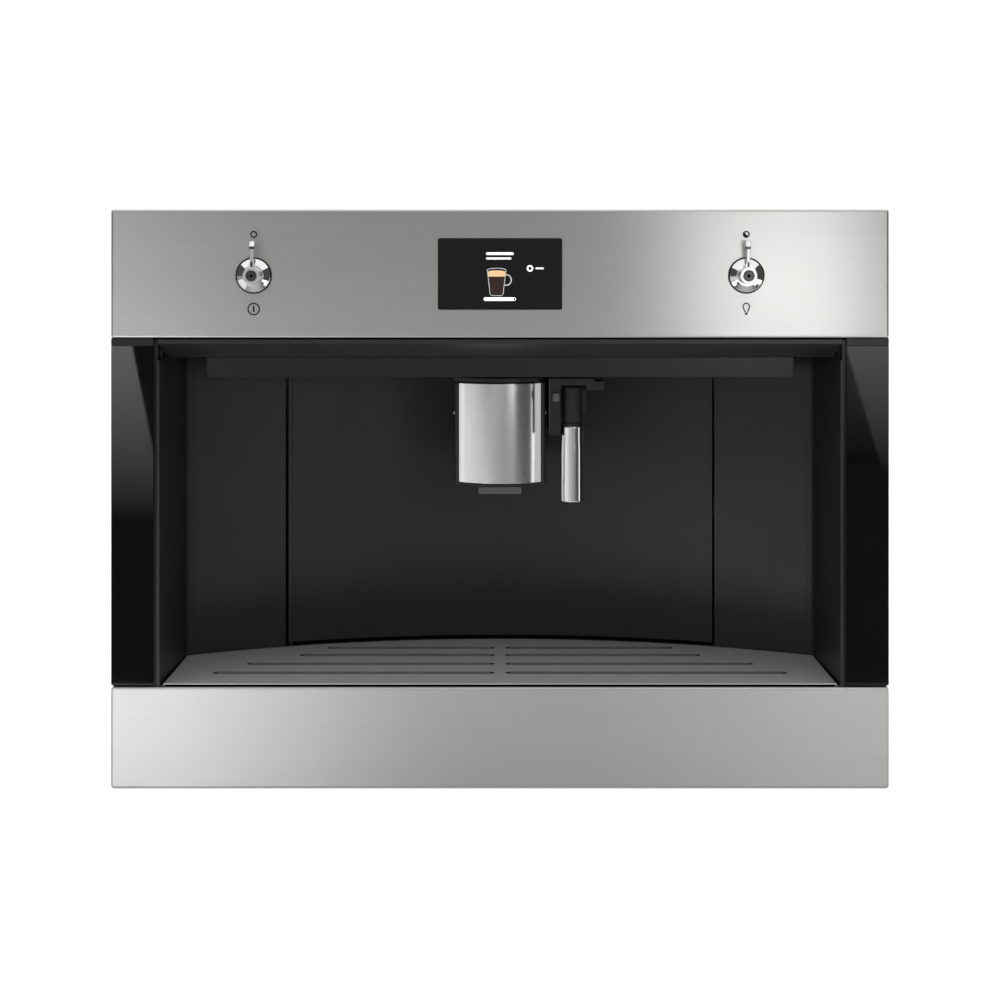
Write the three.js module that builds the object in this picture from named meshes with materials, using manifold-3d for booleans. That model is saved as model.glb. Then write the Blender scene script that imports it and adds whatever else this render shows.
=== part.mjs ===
// A built-in bean-to-cup coffee machine for a 60 x 45 cm kitchen niche, on pull-out rails.
// Millimetres, +Z up, front towards -Y, X = 0 on the centre line. While it is drawn, y = 0 is the
// front plane of the stainless fascias; the last lines centre the whole on its own depth.

import * as THREE from "three";
import { mergeVertices } from "three/addons/utils/BufferGeometryUtils.js";
import Module from "manifold-3d";

const wasm = await Module();
wasm.setup();

// ---- Driving dimensions ---------------------------------------------------------------------

const WIDTH = 597; // front, overall
const HEIGHT = 445; // front, overall, from the cabinet floor
const REAR = 395; // front plane to the back of the casing
const KNOB_REACH = 17; // front plane to the front of the levers

// Clearances
const SEAT = 0.3; // between pieces that bear on each other
const RUN = 0.6; // between pieces that slide on each other
const SWING = 2.5; // round the service door as it swings
const WELD = 0.2; // how far welded or riveted sheets run into each other

// Sheet thicknesses
const FASCIA_SHEET = 1.2;
const CASE_SHEET = 1;
const PAN_SHEET = 1.2;
const BASE_SHEET = 2;
const FRAME_SHEET = 2;
const MOULDING = 2; // black plastic walls

// Front
const FASCIA_DEPTH = 20; // folded edges of the fascias
const UPPER_FASCIA_HEIGHT = 98.5;
const LOWER_FASCIA_TOP = 78.3;
const LOWER_FASCIA_BOTTOM = 0.8; // runs clear of the cabinet floor
const FOLD_RADIUS = 1.6;
const COLUMN_GLASS_WIDTH = 32.3;
const COLUMN_GLASS_THICKNESS = 4;
const COLUMN_GROOVE = 3; // shadow gap between the glass and the cup recess
const SPACER_STRIP = 6; // plastic strip between the glass and the upper fascia

// Cup recess
const NICHE_WALL = 1.6;
const NICHE_WIDTH = WIDTH - 2 * (COLUMN_GLASS_WIDTH + COLUMN_GROOVE + NICHE_WALL); // at the front
const NICHE_TAPER = 3; // each side wall leans in by this much towards the back
const NICHE_DEPTH = 178; // front plane to the door face on the centre line
const NICHE_RADIUS = 516.6; // curved back, seen from above
const CEILING_DROP = 115.5; // below the top edge of the front
const NICHE_CEILING = HEIGHT - CEILING_DROP;
const VISOR_RISE = 12.5; // of the sloping strip, towards the front
const VISOR_DEPTH = 43;
const VALANCE_DROP = 16; // lamp housing below the ceiling
const VALANCE_INSET = 29.6; // from each side wall
const CUP_PLATE_PROUD = 2.2; // above the lower fascia
const CUP_PLATE_TOP = LOWER_FASCIA_TOP + CUP_PLATE_PROUD;

// Service door: the middle of the curved back
const CORNER_PANEL = 83.1; // width of the fixed curved panel beside the door
const DOOR_HALF_WIDTH = NICHE_WIDTH / 2 - CORNER_PANEL;
const DOOR_SEAM = 2;
const DOOR_BOTTOM = CUP_PLATE_TOP + 3;
const DOOR_SKIN = 3;
const DOOR_LINER = 11;
const HINGE_INSET = 1.7; // hinge axis from the door's left edge
const HINGE_ROD_RADIUS = 1.2;
const HINGE_FIT = 0.1; // rod to barrel, on the radius

// Casing
const CASE_INSET = 21.5; // inside the side edges of the front
const CASE_WIDTH = WIDTH - 2 * CASE_INSET;
const CASE_DROP = 7; // below the top edge of the front
const CASE_TOP = HEIGHT - CASE_DROP;
const CASE_STEP = 62; // the casing is narrower below this height, beside the rails
const RAIL_SPACE = 15.5; // beside the floor pan, for the rails
const PAN_WIDTH = CASE_WIDTH - 2 * RAIL_SPACE;
const PAN_BOTTOM = 6;
const BAY_WIDTH = 81; // side bays, between the casing and the walls of the middle cavity
const BULKHEAD_X = CASE_WIDTH / 2 - BAY_WIDTH;

// Base and three-member rails
const BASE_WIDTH = CASE_WIDTH;
const BASE_FRONT = 28;
const BASE_BACK_GAP = 10; // short of the rear panel
const BASE_BACK = REAR - BASE_BACK_GAP;
const RAIL_BOTTOM = 13;
const RAIL_HEIGHT = 44;
const RAIL_SHEET = 1.4;
const RAIL_LIP = 8.6; // width of each member's lips
const RAIL_END = 5; // rails stop short of the base pan's back edge

// Knobs
const KNOB_INSET = 109.5; // from the side edge of the front
const KNOB_DROP = 50.6; // from its top edge
const KNOB_X = WIDTH / 2 - KNOB_INSET;
const KNOB_Z = HEIGHT - KNOB_DROP;
const ESCUTCHEON_RADIUS = 14;
const ESCUTCHEON_HEIGHT = 4.6;
const HUB_RADIUS = 6.7;
const HUB_BACK = 7; // front plane to the back of the hub
const KNOB_CAP_RADIUS = 4.3;
const KNOB_TRAVEL = 2; // press
const LEVER_LENGTH = 26.4; // hub centre to the tip
const LEVER_WIDTH = 2.9;
const LEVER_TIP_WIDTH = 4;
const LEVER_TIP_LENGTH = 6;
const LEVER_THICKNESS = 4;
const SHAFT_RADIUS = 3;

// Display
const DISPLAY_WIDTH = 95;
const DISPLAY_HEIGHT = 54.5;
const DISPLAY_DROP = 49.4; // centre, from the top edge of the front
const DISPLAY_Z = HEIGHT - DISPLAY_DROP;
const DISPLAY_GLASS = 2;
const DISPLAY_CORNER = 1.2;

// ---- Materials ------------------------------------------------------------------------------

const finish = (color, metalness, roughness) =>
  new THREE.MeshStandardMaterial({ color, metalness, roughness });
const BRUSHED_STEEL = finish(0xb5b5b2, 1, 0.35);
const CHROME = finish(0xdadada, 1, 0.08);
const GALVANISED = finish(0x9a9d9f, 0.9, 0.5);
const RAIL_STEEL = finish(0xa8abad, 1, 0.3);
const BLACK_GLASS = finish(0x050506, 0, 0.04);
const BLACK_SATIN = finish(0x121213, 0, 0.35);
const BLACK_MOULDED = finish(0x1a1a1b, 0, 0.55);
const SMOKED = finish(0x2a2c2e, 0, 0.15);
const CLEAR_TANK = finish(0x9fb4bd, 0, 0.1);
const LENS = finish(0xf3efe2, 0, 0.3);
const CAST_ALUMINIUM = finish(0x8e9092, 0.9, 0.55);
const WHITE_PLASTIC = finish(0xd9d7d0, 0, 0.5);
const BRASS = finish(0xb08d4c, 1, 0.35);
const BOARD_GREEN = finish(0x1f4a35, 0, 0.5);

// ---- Shapes ---------------------------------------------------------------------------------

// A closed outline through [a, b] points.
const outline = (points) => new THREE.Shape(points.map(([a, b]) => new THREE.Vector2(a, b)));

// A rectangle with rounded corners.
function panel(a0, a1, b0, b1, radius = 0) {
  const shape = new THREE.Shape();
  if (radius <= 0) return outline([[a0, b0], [a1, b0], [a1, b1], [a0, b1]]);
  shape.moveTo(a0 + radius, b0);
  shape.lineTo(a1 - radius, b0);
  shape.absarc(a1 - radius, b0 + radius, radius, -Math.PI / 2, 0);
  shape.lineTo(a1, b1 - radius);
  shape.absarc(a1 - radius, b1 - radius, radius, 0, Math.PI / 2);
  shape.lineTo(a0 + radius, b1);
  shape.absarc(a0 + radius, b1 - radius, radius, Math.PI / 2, Math.PI);
  shape.lineTo(a0, b0 + radius);
  shape.absarc(a0 + radius, b0 + radius, radius, Math.PI, 1.5 * Math.PI);
  return shape;
}

// The same outline with openings in it.
function pierced(shape, ...openings) {
  shape.holes.push(...openings);
  return shape;
}

const extruded = (shape, depth, segments) =>
  new THREE.ExtrudeGeometry(shape, { depth, bevelEnabled: false, curveSegments: segments });

// A plan outline (x, y) raised from z0 to z1.
const raised = (shape, z0, z1, segments = 4) =>
  extruded(shape, z1 - z0, segments).translate(0, 0, z0);

// A front outline (x, z) running back from y0 to y1.
const fronted = (shape, y0, y1, segments = 4) =>
  extruded(shape, y1 - y0, segments).rotateX(Math.PI / 2).translate(0, y1, 0);

// A side outline (y, z) running across from x0 to x1.
const SIDE_ON = new THREE.Matrix4().makeBasis(
  new THREE.Vector3(0, 1, 0),
  new THREE.Vector3(0, 0, 1),
  new THREE.Vector3(1, 0, 0),
);
const sided = (shape, x0, x1, segments = 4) =>
  extruded(shape, x1 - x0, segments).applyMatrix4(SIDE_ON).translate(x0, 0, 0);

function block(x0, x1, y0, y1, z0, z1) {
  return new THREE.BoxGeometry(x1 - x0, y1 - y0, z1 - z0).translate(
    (x0 + x1) / 2,
    (y0 + y1) / 2,
    (z0 + z1) / 2,
  );
}

// A turned piece: a closed profile of [radius, height] points round the Z axis.
function turned(profile, sides = 16) {
  const points = profile.map(([radius, height]) => new THREE.Vector2(radius, height));
  if (THREE.ShapeUtils.area(points) < 0) points.reverse();
  if (profile.every(([radius]) => radius > 0)) points.push(points[0].clone());
  return new THREE.LatheGeometry(points, sides).rotateX(Math.PI / 2);
}

// A plain rod along Z.
const rod = (radius, z0, z1, sides = 16) =>
  turned([[0, z0], [radius, z0], [radius, z1], [0, z1]], sides);

const facingFront = (geometry) => geometry.rotateX(Math.PI / 2); // +Z becomes -Y
const lyingAcross = (geometry) => geometry.rotateY(Math.PI / 2); // +Z becomes +X

// ---- Joining and cutting --------------------------------------------------------------------

function solid(geometry) {
  const bare = new THREE.BufferGeometry();
  bare.setAttribute("position", geometry.getAttribute("position"));
  if (geometry.index) bare.setIndex(geometry.index);
  const merged = mergeVertices(bare, 1e-4);
  return new wasm.Manifold(
    new wasm.Mesh({
      numProp: 3,
      vertProperties: new Float32Array(merged.attributes.position.array),
      triVerts: new Uint32Array(merged.index.array),
    }),
  );
}

function surface(manifold) {
  const mesh = manifold.getMesh();
  const geometry = new THREE.BufferGeometry();
  geometry.setAttribute("position", new THREE.BufferAttribute(new Float32Array(mesh.vertProperties), 3));
  geometry.setIndex(new THREE.BufferAttribute(new Uint32Array(mesh.triVerts), 1));
  return geometry;
}

const joined = (first, ...others) =>
  surface(others.reduce((sum, other) => sum.add(solid(other)), solid(first)));
const cut = (first, ...others) =>
  surface(others.reduce((rest, other) => rest.subtract(solid(other)), solid(first)));

// ---- Assembly -------------------------------------------------------------------------------

const coffeeMachine = new THREE.Group();

function part(name, geometry, material, parent = coffeeMachine) {
  const mesh = new THREE.Mesh(geometry, material);
  mesh.name = name;
  parent.add(mesh);
  return mesh;
}

// Runs once for each side: side is -1 on the left and +1 on the right.
const SIDES = [["left", -1], ["right", 1]];
const across = (side, x0, x1, y0, y1, z0, z1) =>
  side > 0 ? block(x0, x1, y0, y1, z0, z1) : block(-x1, -x0, y0, y1, z0, z1);
const mirroredOutline = (side, points) => {
  const turnedOver = points.map(([a, b]) => [side * a, b]);
  return outline(side > 0 ? turnedOver : turnedOver.reverse());
};

// ---- Base and rails: screwed to the cabinet floor -------------------------------------------

const BASE_FLANGE_TOP = RAIL_BOTTOM + RAIL_HEIGHT + BASE_SHEET;
const BASE_SCREW_RADIUS = 2.6;
const BASE_SCREW_SIDE = 62; // from the side of the base pan
const BASE_SCREW_INSET = 45; // from its front and back
const BASE_STOP_HEIGHT = 4; // low enough for the floor pan to pass over
const RAIL_FRONT = BASE_FRONT + 2;
const RAIL_BACK = BASE_BACK - RAIL_END;

function basePan() {
  const half = BASE_WIDTH / 2;
  const inner = half - BASE_SHEET;
  const channel = fronted(
    outline([
      [-half, 0], [half, 0], [half, BASE_FLANGE_TOP], [inner, BASE_FLANGE_TOP],
      [inner, BASE_SHEET], [-inner, BASE_SHEET], [-inner, BASE_FLANGE_TOP], [-half, BASE_FLANGE_TOP],
    ]),
    BASE_FRONT,
    BASE_BACK,
  );
  const stop = block(-inner, inner, BASE_BACK - BASE_SHEET, BASE_BACK, 0, BASE_STOP_HEIGHT);
  const screwHoles = [];
  const screwX = half - BASE_SCREW_SIDE;
  for (const x of [-screwX, screwX])
    for (const y of [BASE_FRONT + BASE_SCREW_INSET, BASE_BACK - BASE_SCREW_INSET])
      screwHoles.push(rod(BASE_SCREW_RADIUS, -1, BASE_SHEET + 1, 12).translate(x, y, 0));
  return cut(joined(channel, stop), ...screwHoles);
}

// A rail member's C section: its web stands at webX and its lips reach lipWidth from there.
function railMember(side, webX, lipWidth, inset) {
  const inwards = -1; // the lips of the outer and middle members reach towards the machine
  const reach = inwards * lipWidth;
  const sheet = inwards * RAIL_SHEET;
  const low = RAIL_BOTTOM + inset;
  const high = RAIL_BOTTOM + RAIL_HEIGHT - inset;
  return fronted(
    mirroredOutline(side, [
      [webX, low], [webX, high], [webX + reach, high], [webX + reach, high - RAIL_SHEET],
      [webX + sheet, high - RAIL_SHEET], [webX + sheet, low + RAIL_SHEET],
      [webX + reach, low + RAIL_SHEET], [webX + reach, low],
    ]),
    RAIL_FRONT,
    RAIL_BACK,
  );
}

// The inner member is the same section turned round: web on the machine's floor pan, lips outwards.
function innerRail(side) {
  const webX = PAN_WIDTH / 2 - WELD;
  const inset = 2 * (RAIL_SHEET + RUN);
  const low = RAIL_BOTTOM + inset;
  const high = RAIL_BOTTOM + RAIL_HEIGHT - inset;
  return fronted(
    mirroredOutline(side, [
      [webX, low], [webX + RAIL_LIP, low], [webX + RAIL_LIP, low + RAIL_SHEET],
      [webX + RAIL_SHEET, low + RAIL_SHEET], [webX + RAIL_SHEET, high - RAIL_SHEET],
      [webX + RAIL_LIP, high - RAIL_SHEET], [webX + RAIL_LIP, high], [webX, high],
    ]),
    RAIL_FRONT,
    RAIL_BACK,
  );
}

const outerWeb = BASE_WIDTH / 2 - BASE_SHEET + WELD;
const middleWeb = outerWeb - RAIL_SHEET - RUN;
part(
  "base_pan",
  joined(basePan(), ...SIDES.map(([, side]) => railMember(side, outerWeb, RAIL_LIP, 0))),
  GALVANISED,
);
for (const [name, side] of SIDES)
  part(`middle_rail_${name}`, railMember(side, middleWeb, RAIL_LIP, RAIL_SHEET + RUN), RAIL_STEEL);

// ---- Casing ---------------------------------------------------------------------------------

const FRAME_FRONT = FASCIA_DEPTH + SEAT;
const FRAME_BACK = FRAME_FRONT + FRAME_SHEET;
const CASE_FRONT = FRAME_BACK + SEAT;
const CASE_BACK = REAR - CASE_SHEET - SEAT; // front face of the rear panel, less its seat
const CASE_HALF = CASE_WIDTH / 2;
const PAN_HALF = PAN_WIDTH / 2;
const PAN_TOP = CASE_STEP - 1 - SEAT;
const SIDE_TOP = CASE_TOP - CASE_SHEET - SEAT;
const SIDE_BOTTOM = CASE_STEP - 1;

// Water tank bay in the right-hand side panel
const TANK_WIDTH = 64;
const TANK_HEIGHT = 225;
const TANK_FRONT = 165;
const TANK_BACK_GAP = 30; // short of the rear panel
const TANK_SHELF_TOP = 66;
const TANK_OPENING_MARGIN = 4;
const TANK_WALL = 2.2;
const TANK_OUT = CASE_HALF; // outer face, flush with the side panel
const TANK_IN = TANK_OUT - TANK_WIDTH;
const TANK_BOTTOM = TANK_SHELF_TOP + SEAT;
const TANK_BACK = REAR - TANK_BACK_GAP;
const TANK_TOP = TANK_BOTTOM + TANK_HEIGHT;

// Bean hopper opening in the top panel
const HOPPER_HALF_WIDTH = 95;
const HOPPER_FRONT = 205;
const HOPPER_BACK_GAP = 50; // short of the rear panel
const HOPPER_BACK = REAR - HOPPER_BACK_GAP;
const HOPPER_RIM = 8; // overlap of the hopper's flange under the top panel

const LOUVRE_WIDTH = 3.5;
const LOUVRE_PITCH = 12;
const LOUVRE_LENGTH = 60;
const SIDE_VENT_TOP = CASE_TOP - 38;
const REAR_VENT_INSET = 77; // from the side of the casing to the row's near end
const REAR_VENT_LENGTH = 100;
const REAR_VENT_Z = CASE_TOP - 108;
const TOP_VENT_X = 72 - CASE_HALF;
const TOP_VENT_FRONT = 250;
const TOP_VENT_LENGTH = 80;

// A row of equal slots, each a box, for cutting vents.
function louvres(count, make) {
  return Array.from({ length: count }, (_, i) => make((i - (count - 1) / 2) * LOUVRE_PITCH));
}

function floorPan() {
  const inner = PAN_HALF - PAN_SHEET;
  const floor = PAN_BOTTOM + PAN_SHEET;
  return fronted(
    outline([
      [-PAN_HALF, PAN_BOTTOM], [PAN_HALF, PAN_BOTTOM], [PAN_HALF, PAN_TOP], [inner, PAN_TOP],
      [inner, floor], [-inner, floor], [-inner, PAN_TOP], [-PAN_HALF, PAN_TOP],
    ]),
    CASE_FRONT,
    CASE_BACK,
  );
}
part("floor_pan", joined(floorPan(), ...SIDES.map(([, side]) => innerRail(side))), GALVANISED);

// Each side panel is a wall with a flange turned in along its bottom and its top.
function sidePanel(side) {
  const lip = 12;
  const wall = fronted(
    mirroredOutline(side, [
      [PAN_HALF - PAN_SHEET, SIDE_BOTTOM], [CASE_HALF, SIDE_BOTTOM], [CASE_HALF, SIDE_TOP],
      [CASE_HALF - lip, SIDE_TOP], [CASE_HALF - lip, SIDE_TOP - CASE_SHEET],
      [CASE_HALF - CASE_SHEET, SIDE_TOP - CASE_SHEET],
      [CASE_HALF - CASE_SHEET, SIDE_BOTTOM + CASE_SHEET],
      [PAN_HALF - PAN_SHEET, SIDE_BOTTOM + CASE_SHEET],
    ]),
    CASE_FRONT,
    CASE_BACK,
  );
  if (side < 0) {
    const middle = (CASE_FRONT + CASE_BACK) / 2;
    const slots = louvres(9, (shift) =>
      across(
        side, CASE_HALF - 5, CASE_HALF + 5, middle + shift, middle + shift + LOUVRE_WIDTH,
        SIDE_VENT_TOP - LOUVRE_LENGTH, SIDE_VENT_TOP,
      ),
    );
    return cut(wall, ...slots);
  }
  const margin = TANK_OPENING_MARGIN;
  return cut(
    wall,
    sided(
      panel(TANK_FRONT - margin, TANK_BACK + margin, TANK_BOTTOM - margin / 2, TANK_TOP + margin, 6),
      CASE_HALF - 5,
      CASE_HALF + 5,
    ),
  );
}
for (const [name, side] of SIDES) part(`side_panel_${name}`, sidePanel(side), GALVANISED);

// Mains inlet, low on the left of the rear panel
const INLET_INSET = 39; // from the side of the casing
const INLET_X = INLET_INSET - CASE_HALF;
const INLET_Z = 96;
const INLET_WIDTH = 27.5;
const INLET_HEIGHT = 20;

function rearPanel() {
  const plate = fronted(
    outline([
      [-PAN_HALF, PAN_BOTTOM], [PAN_HALF, PAN_BOTTOM], [PAN_HALF, SIDE_BOTTOM],
      [CASE_HALF, SIDE_BOTTOM], [CASE_HALF, CASE_TOP], [-CASE_HALF, CASE_TOP],
      [-CASE_HALF, SIDE_BOTTOM], [-PAN_HALF, SIDE_BOTTOM],
    ]),
    REAR - CASE_SHEET,
    REAR,
  );
  const through = [REAR - 3, REAR + 3];
  const inlet = block(
    INLET_X - INLET_WIDTH / 2, INLET_X + INLET_WIDTH / 2, ...through,
    INLET_Z - INLET_HEIGHT / 2, INLET_Z + INLET_HEIGHT / 2,
  );
  const rows = SIDES.flatMap(([, side]) =>
    louvres(8, (shift) =>
      across(
        side, CASE_HALF - REAR_VENT_INSET - REAR_VENT_LENGTH, CASE_HALF - REAR_VENT_INSET, ...through,
        REAR_VENT_Z + shift, REAR_VENT_Z + shift + LOUVRE_WIDTH,
      ),
    ),
  );
  return cut(plate, inlet, ...rows);
}
part("rear_panel", rearPanel(), GALVANISED);

const LID_GAP = 0.4;
const LID_SHEET = 2.2;
const LID_OVERLAP = 4;
const LID_PIN_RADIUS = 1;
const LID_PIN_FIT = 0.1;
const LID_BARREL_RADIUS = 2;
const LID_BARREL_HALF = 40;
const LID_PIN_Y = HOPPER_BACK + LID_OVERLAP + 3;
const LID_PIN_Z = CASE_TOP + LID_GAP + LID_BARREL_RADIUS;
const EAR_WIDTH = 3;
const PIN_HALF = LID_BARREL_HALF + RUN + EAR_WIDTH;

// One ear of the lid hinge, on the top panel.
function lidEar(side) {
  const near = LID_BARREL_HALF + RUN;
  const top = LID_PIN_Z + LID_BARREL_RADIUS;
  const ear = across(
    side, near, near + EAR_WIDTH, LID_PIN_Y - 2.4, LID_PIN_Y + 2.6, CASE_TOP - CASE_SHEET, top,
  );
  const bore = lyingAcross(rod(LID_PIN_RADIUS + LID_PIN_FIT, -PIN_HALF - 1, PIN_HALF + 1, 12));
  return cut(ear, bore.translate(0, LID_PIN_Y, LID_PIN_Z));
}

function topPanel() {
  const plate = raised(panel(-CASE_HALF, CASE_HALF, CASE_FRONT, CASE_BACK), CASE_TOP - CASE_SHEET, CASE_TOP);
  const opening = raised(
    panel(-HOPPER_HALF_WIDTH, HOPPER_HALF_WIDTH, HOPPER_FRONT, HOPPER_BACK, 8),
    CASE_TOP - 5,
    CASE_TOP + 5,
  );
  const vents = louvres(7, (shift) =>
    block(
      TOP_VENT_X + shift, TOP_VENT_X + shift + LOUVRE_WIDTH,
      TOP_VENT_FRONT, TOP_VENT_FRONT + TOP_VENT_LENGTH, CASE_TOP - 5, CASE_TOP + 5,
    ),
  );
  return cut(joined(plate, ...SIDES.map(([, side]) => lidEar(side))), opening, ...vents);
}
part("top_panel", topPanel(), GALVANISED);

// The front frame carries the fascias and bears on the cabinet's front edges with a strip a side.
const FRAME_MARGIN = 2; // inside the outline of the front
const SEAT_STRIP_GAP = 1.5; // beside the casing
const SEAT_STRIP_PROUD = 1;
const SEAT_STRIP_BOTTOM = 70;
const SEAT_STRIP_DROP = 10; // below the top edge of the front
const NICHE_HALF = NICHE_WIDTH / 2;
const NICHE_OPENING_BOTTOM = LOWER_FASCIA_TOP - FASCIA_SHEET;
const UPPER_FASCIA_BOTTOM = HEIGHT - UPPER_FASCIA_HEIGHT;
const ENCODER_WIDTH = 26;

function frontFrame() {
  const half = WIDTH / 2 - FRAME_MARGIN;
  const plate = fronted(
    panel(-half, half, LOWER_FASCIA_BOTTOM + FRAME_MARGIN, HEIGHT - FRAME_MARGIN),
    FRAME_FRONT,
    FRAME_BACK,
  );
  const through = [FRAME_FRONT - 1, FRAME_BACK + 1];
  const wallFace = NICHE_HALF + NICHE_WALL + SEAT;
  const niche = block(-wallFace, wallFace, ...through, NICHE_OPENING_BOTTOM, UPPER_FASCIA_BOTTOM);
  const halfDisplay = DISPLAY_WIDTH / 2 + 4;
  const display = block(
    -halfDisplay, halfDisplay, ...through,
    DISPLAY_Z - DISPLAY_HEIGHT / 2 - 4, DISPLAY_Z + DISPLAY_HEIGHT / 2 + 4,
  );
  const encoders = [-KNOB_X, KNOB_X].map((x) =>
    block(
      x - ENCODER_WIDTH / 2 - 1, x + ENCODER_WIDTH / 2 + 1, ...through,
      KNOB_Z - ENCODER_WIDTH / 2 - 1, KNOB_Z + ENCODER_WIDTH / 2 + 1,
    ),
  );
  const strips = SIDES.map(([, side]) =>
    across(
      side, CASE_HALF + SEAT_STRIP_GAP, half, FRAME_BACK - WELD, FRAME_BACK + SEAT_STRIP_PROUD,
      SEAT_STRIP_BOTTOM, HEIGHT - SEAT_STRIP_DROP,
    ),
  );
  return cut(joined(plate, ...strips), niche, display, ...encoders);
}
part("front_frame", frontFrame(), GALVANISED);

// ---- Fascias and columns --------------------------------------------------------------------

const SHAFT_HOLE_RADIUS = SHAFT_RADIUS + RUN;

// A folded stainless pan, rounded along its folds and open at the back.
function fascia(bottom, top, ...openings) {
  const half = WIDTH / 2;
  const round = FOLD_RADIUS;
  const shape = panel(-half + round, half - round, bottom + round, top - round);
  const shell = new THREE.ExtrudeGeometry(shape, {
    depth: FASCIA_DEPTH,
    bevelThickness: round,
    bevelSize: round,
    bevelSegments: 3,
  })
    .rotateX(Math.PI / 2)
    .translate(0, FASCIA_DEPTH + round, 0);
  const sheet = FASCIA_SHEET;
  const hollow = block(
    -half + sheet, half - sheet, sheet, FASCIA_DEPTH + 2, bottom + sheet, top - sheet,
  );
  const behind = block(
    -half - 1, half + 1, FASCIA_DEPTH, FASCIA_DEPTH + 2 * round + 1, bottom - 1, top + 1,
  );
  return cut(shell, hollow, behind, ...openings);
}

const displayOpening = fronted(
  panel(
    -DISPLAY_WIDTH / 2 - SEAT, DISPLAY_WIDTH / 2 + SEAT,
    DISPLAY_Z - DISPLAY_HEIGHT / 2 - SEAT, DISPLAY_Z + DISPLAY_HEIGHT / 2 + SEAT,
    DISPLAY_CORNER + SEAT,
  ),
  -1,
  5,
);
const shaftOpenings = [-KNOB_X, KNOB_X].map((x) =>
  facingFront(rod(SHAFT_HOLE_RADIUS, -5, 1)).translate(x, 0, KNOB_Z),
);
part(
  "upper_fascia",
  fascia(UPPER_FASCIA_BOTTOM, HEIGHT, displayOpening, ...shaftOpenings),
  BRUSHED_STEEL,
);
part("lower_fascia", fascia(LOWER_FASCIA_BOTTOM, LOWER_FASCIA_TOP), BRUSHED_STEEL);

const COLUMN_IN = NICHE_HALF + NICHE_WALL + SEAT;
const GLASS_IN = COLUMN_IN + COLUMN_GROOVE - SEAT;
const GLASS_FRONT = 0.5;
const GLASS_BACK = GLASS_FRONT + COLUMN_GLASS_THICKNESS;
const COLUMN_BOTTOM = LOWER_FASCIA_TOP + SEAT;
const COLUMN_TOP = UPPER_FASCIA_BOTTOM - SEAT;
const GLASS_TOP = COLUMN_TOP - SPACER_STRIP;

for (const [name, side] of SIDES) {
  const out = WIDTH / 2;
  const face = GLASS_BACK + SEAT;
  const carrier = cut(
    across(side, COLUMN_IN, out, face, FASCIA_DEPTH, COLUMN_BOTTOM, COLUMN_TOP),
    across(
      side, COLUMN_IN + MOULDING, out - MOULDING, face + MOULDING, FASCIA_DEPTH + 1,
      COLUMN_BOTTOM + MOULDING, COLUMN_TOP - MOULDING,
    ),
  );
  const strip = across(
    side, GLASS_IN, out, GLASS_FRONT, face + 1, COLUMN_TOP - SPACER_STRIP + SEAT, COLUMN_TOP,
  );
  part(`column_${name}`, joined(carrier, strip), BLACK_SATIN);
  part(
    `column_glass_${name}`,
    across(side, GLASS_IN, out, GLASS_FRONT, GLASS_BACK, COLUMN_BOTTOM + 1.6, GLASS_TOP),
    BLACK_GLASS,
  );
}

// ---- Cup recess -----------------------------------------------------------------------------

const NICHE_CENTRE_Y = NICHE_DEPTH - NICHE_RADIUS;

// The curved back: y at x, on a circle larger by offset (positive is behind the visible face).
const nicheY = (x, offset = 0) => NICHE_CENTRE_Y + Math.sqrt((NICHE_RADIUS + offset) ** 2 - x ** 2);

const arcPoints = (offset, from, to, steps = 10) =>
  Array.from({ length: steps + 1 }, (_, i) => {
    const x = from + ((to - from) * i) / steps;
    return [x, nicheY(x, offset)];
  });

// A curved plate between two offsets from the visible face.
const curvedBand = (from, to, front, back, steps = 10) =>
  outline([...arcPoints(front, from, to, steps), ...arcPoints(back, to, from, steps)]);

const NICHE_FRONT = 1; // set back of the recess lining from the front plane
const WALL_BACK = NICHE_HALF - NICHE_TAPER;
const DOOR_EDGE = DOOR_HALF_WIDTH + DOOR_SEAM; // where the fixed lining starts
const LEDGE_WIDTH = 13;
const LEDGE_FRONT = 30;
const LEDGE_BACK = 100;
const PLATE_SHEET = 1.2;
const TRAY_RIM = 2;
const RIM_TOP = CUP_PLATE_TOP - PLATE_SHEET - SEAT;
const LEDGE_TOP = RIM_TOP - TRAY_RIM - SEAT;
const LINING_BOTTOM = LEDGE_TOP - MOULDING;
const LINING_TOP = NICHE_CEILING - SEAT;

// One side of the lining: the side wall, the curved corner panel and the ledge for the tray.
function nicheLining(side) {
  const wall = raised(
    mirroredOutline(side, [
      [NICHE_HALF, NICHE_FRONT],
      ...arcPoints(0, WALL_BACK, DOOR_EDGE, 6),
      ...arcPoints(NICHE_WALL, DOOR_EDGE, WALL_BACK + NICHE_WALL, 6),
      [NICHE_HALF + NICHE_WALL, NICHE_FRONT],
    ]),
    LINING_BOTTOM,
    LINING_TOP,
  );
  const ledge = across(
    side, WALL_BACK - LEDGE_WIDTH, WALL_BACK + NICHE_WALL / 2, LEDGE_FRONT, LEDGE_BACK,
    LINING_BOTTOM, LEDGE_TOP,
  );
  const overFascia = across(
    side, NICHE_HALF - 10, NICHE_HALF + 10, -1, FRAME_BACK + SEAT, 0, LOWER_FASCIA_TOP + SEAT,
  );
  return cut(joined(wall, ledge), overFascia);
}
for (const [name, side] of SIDES) part(`recess_lining_${name}`, nicheLining(side), BLACK_SATIN);

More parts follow.
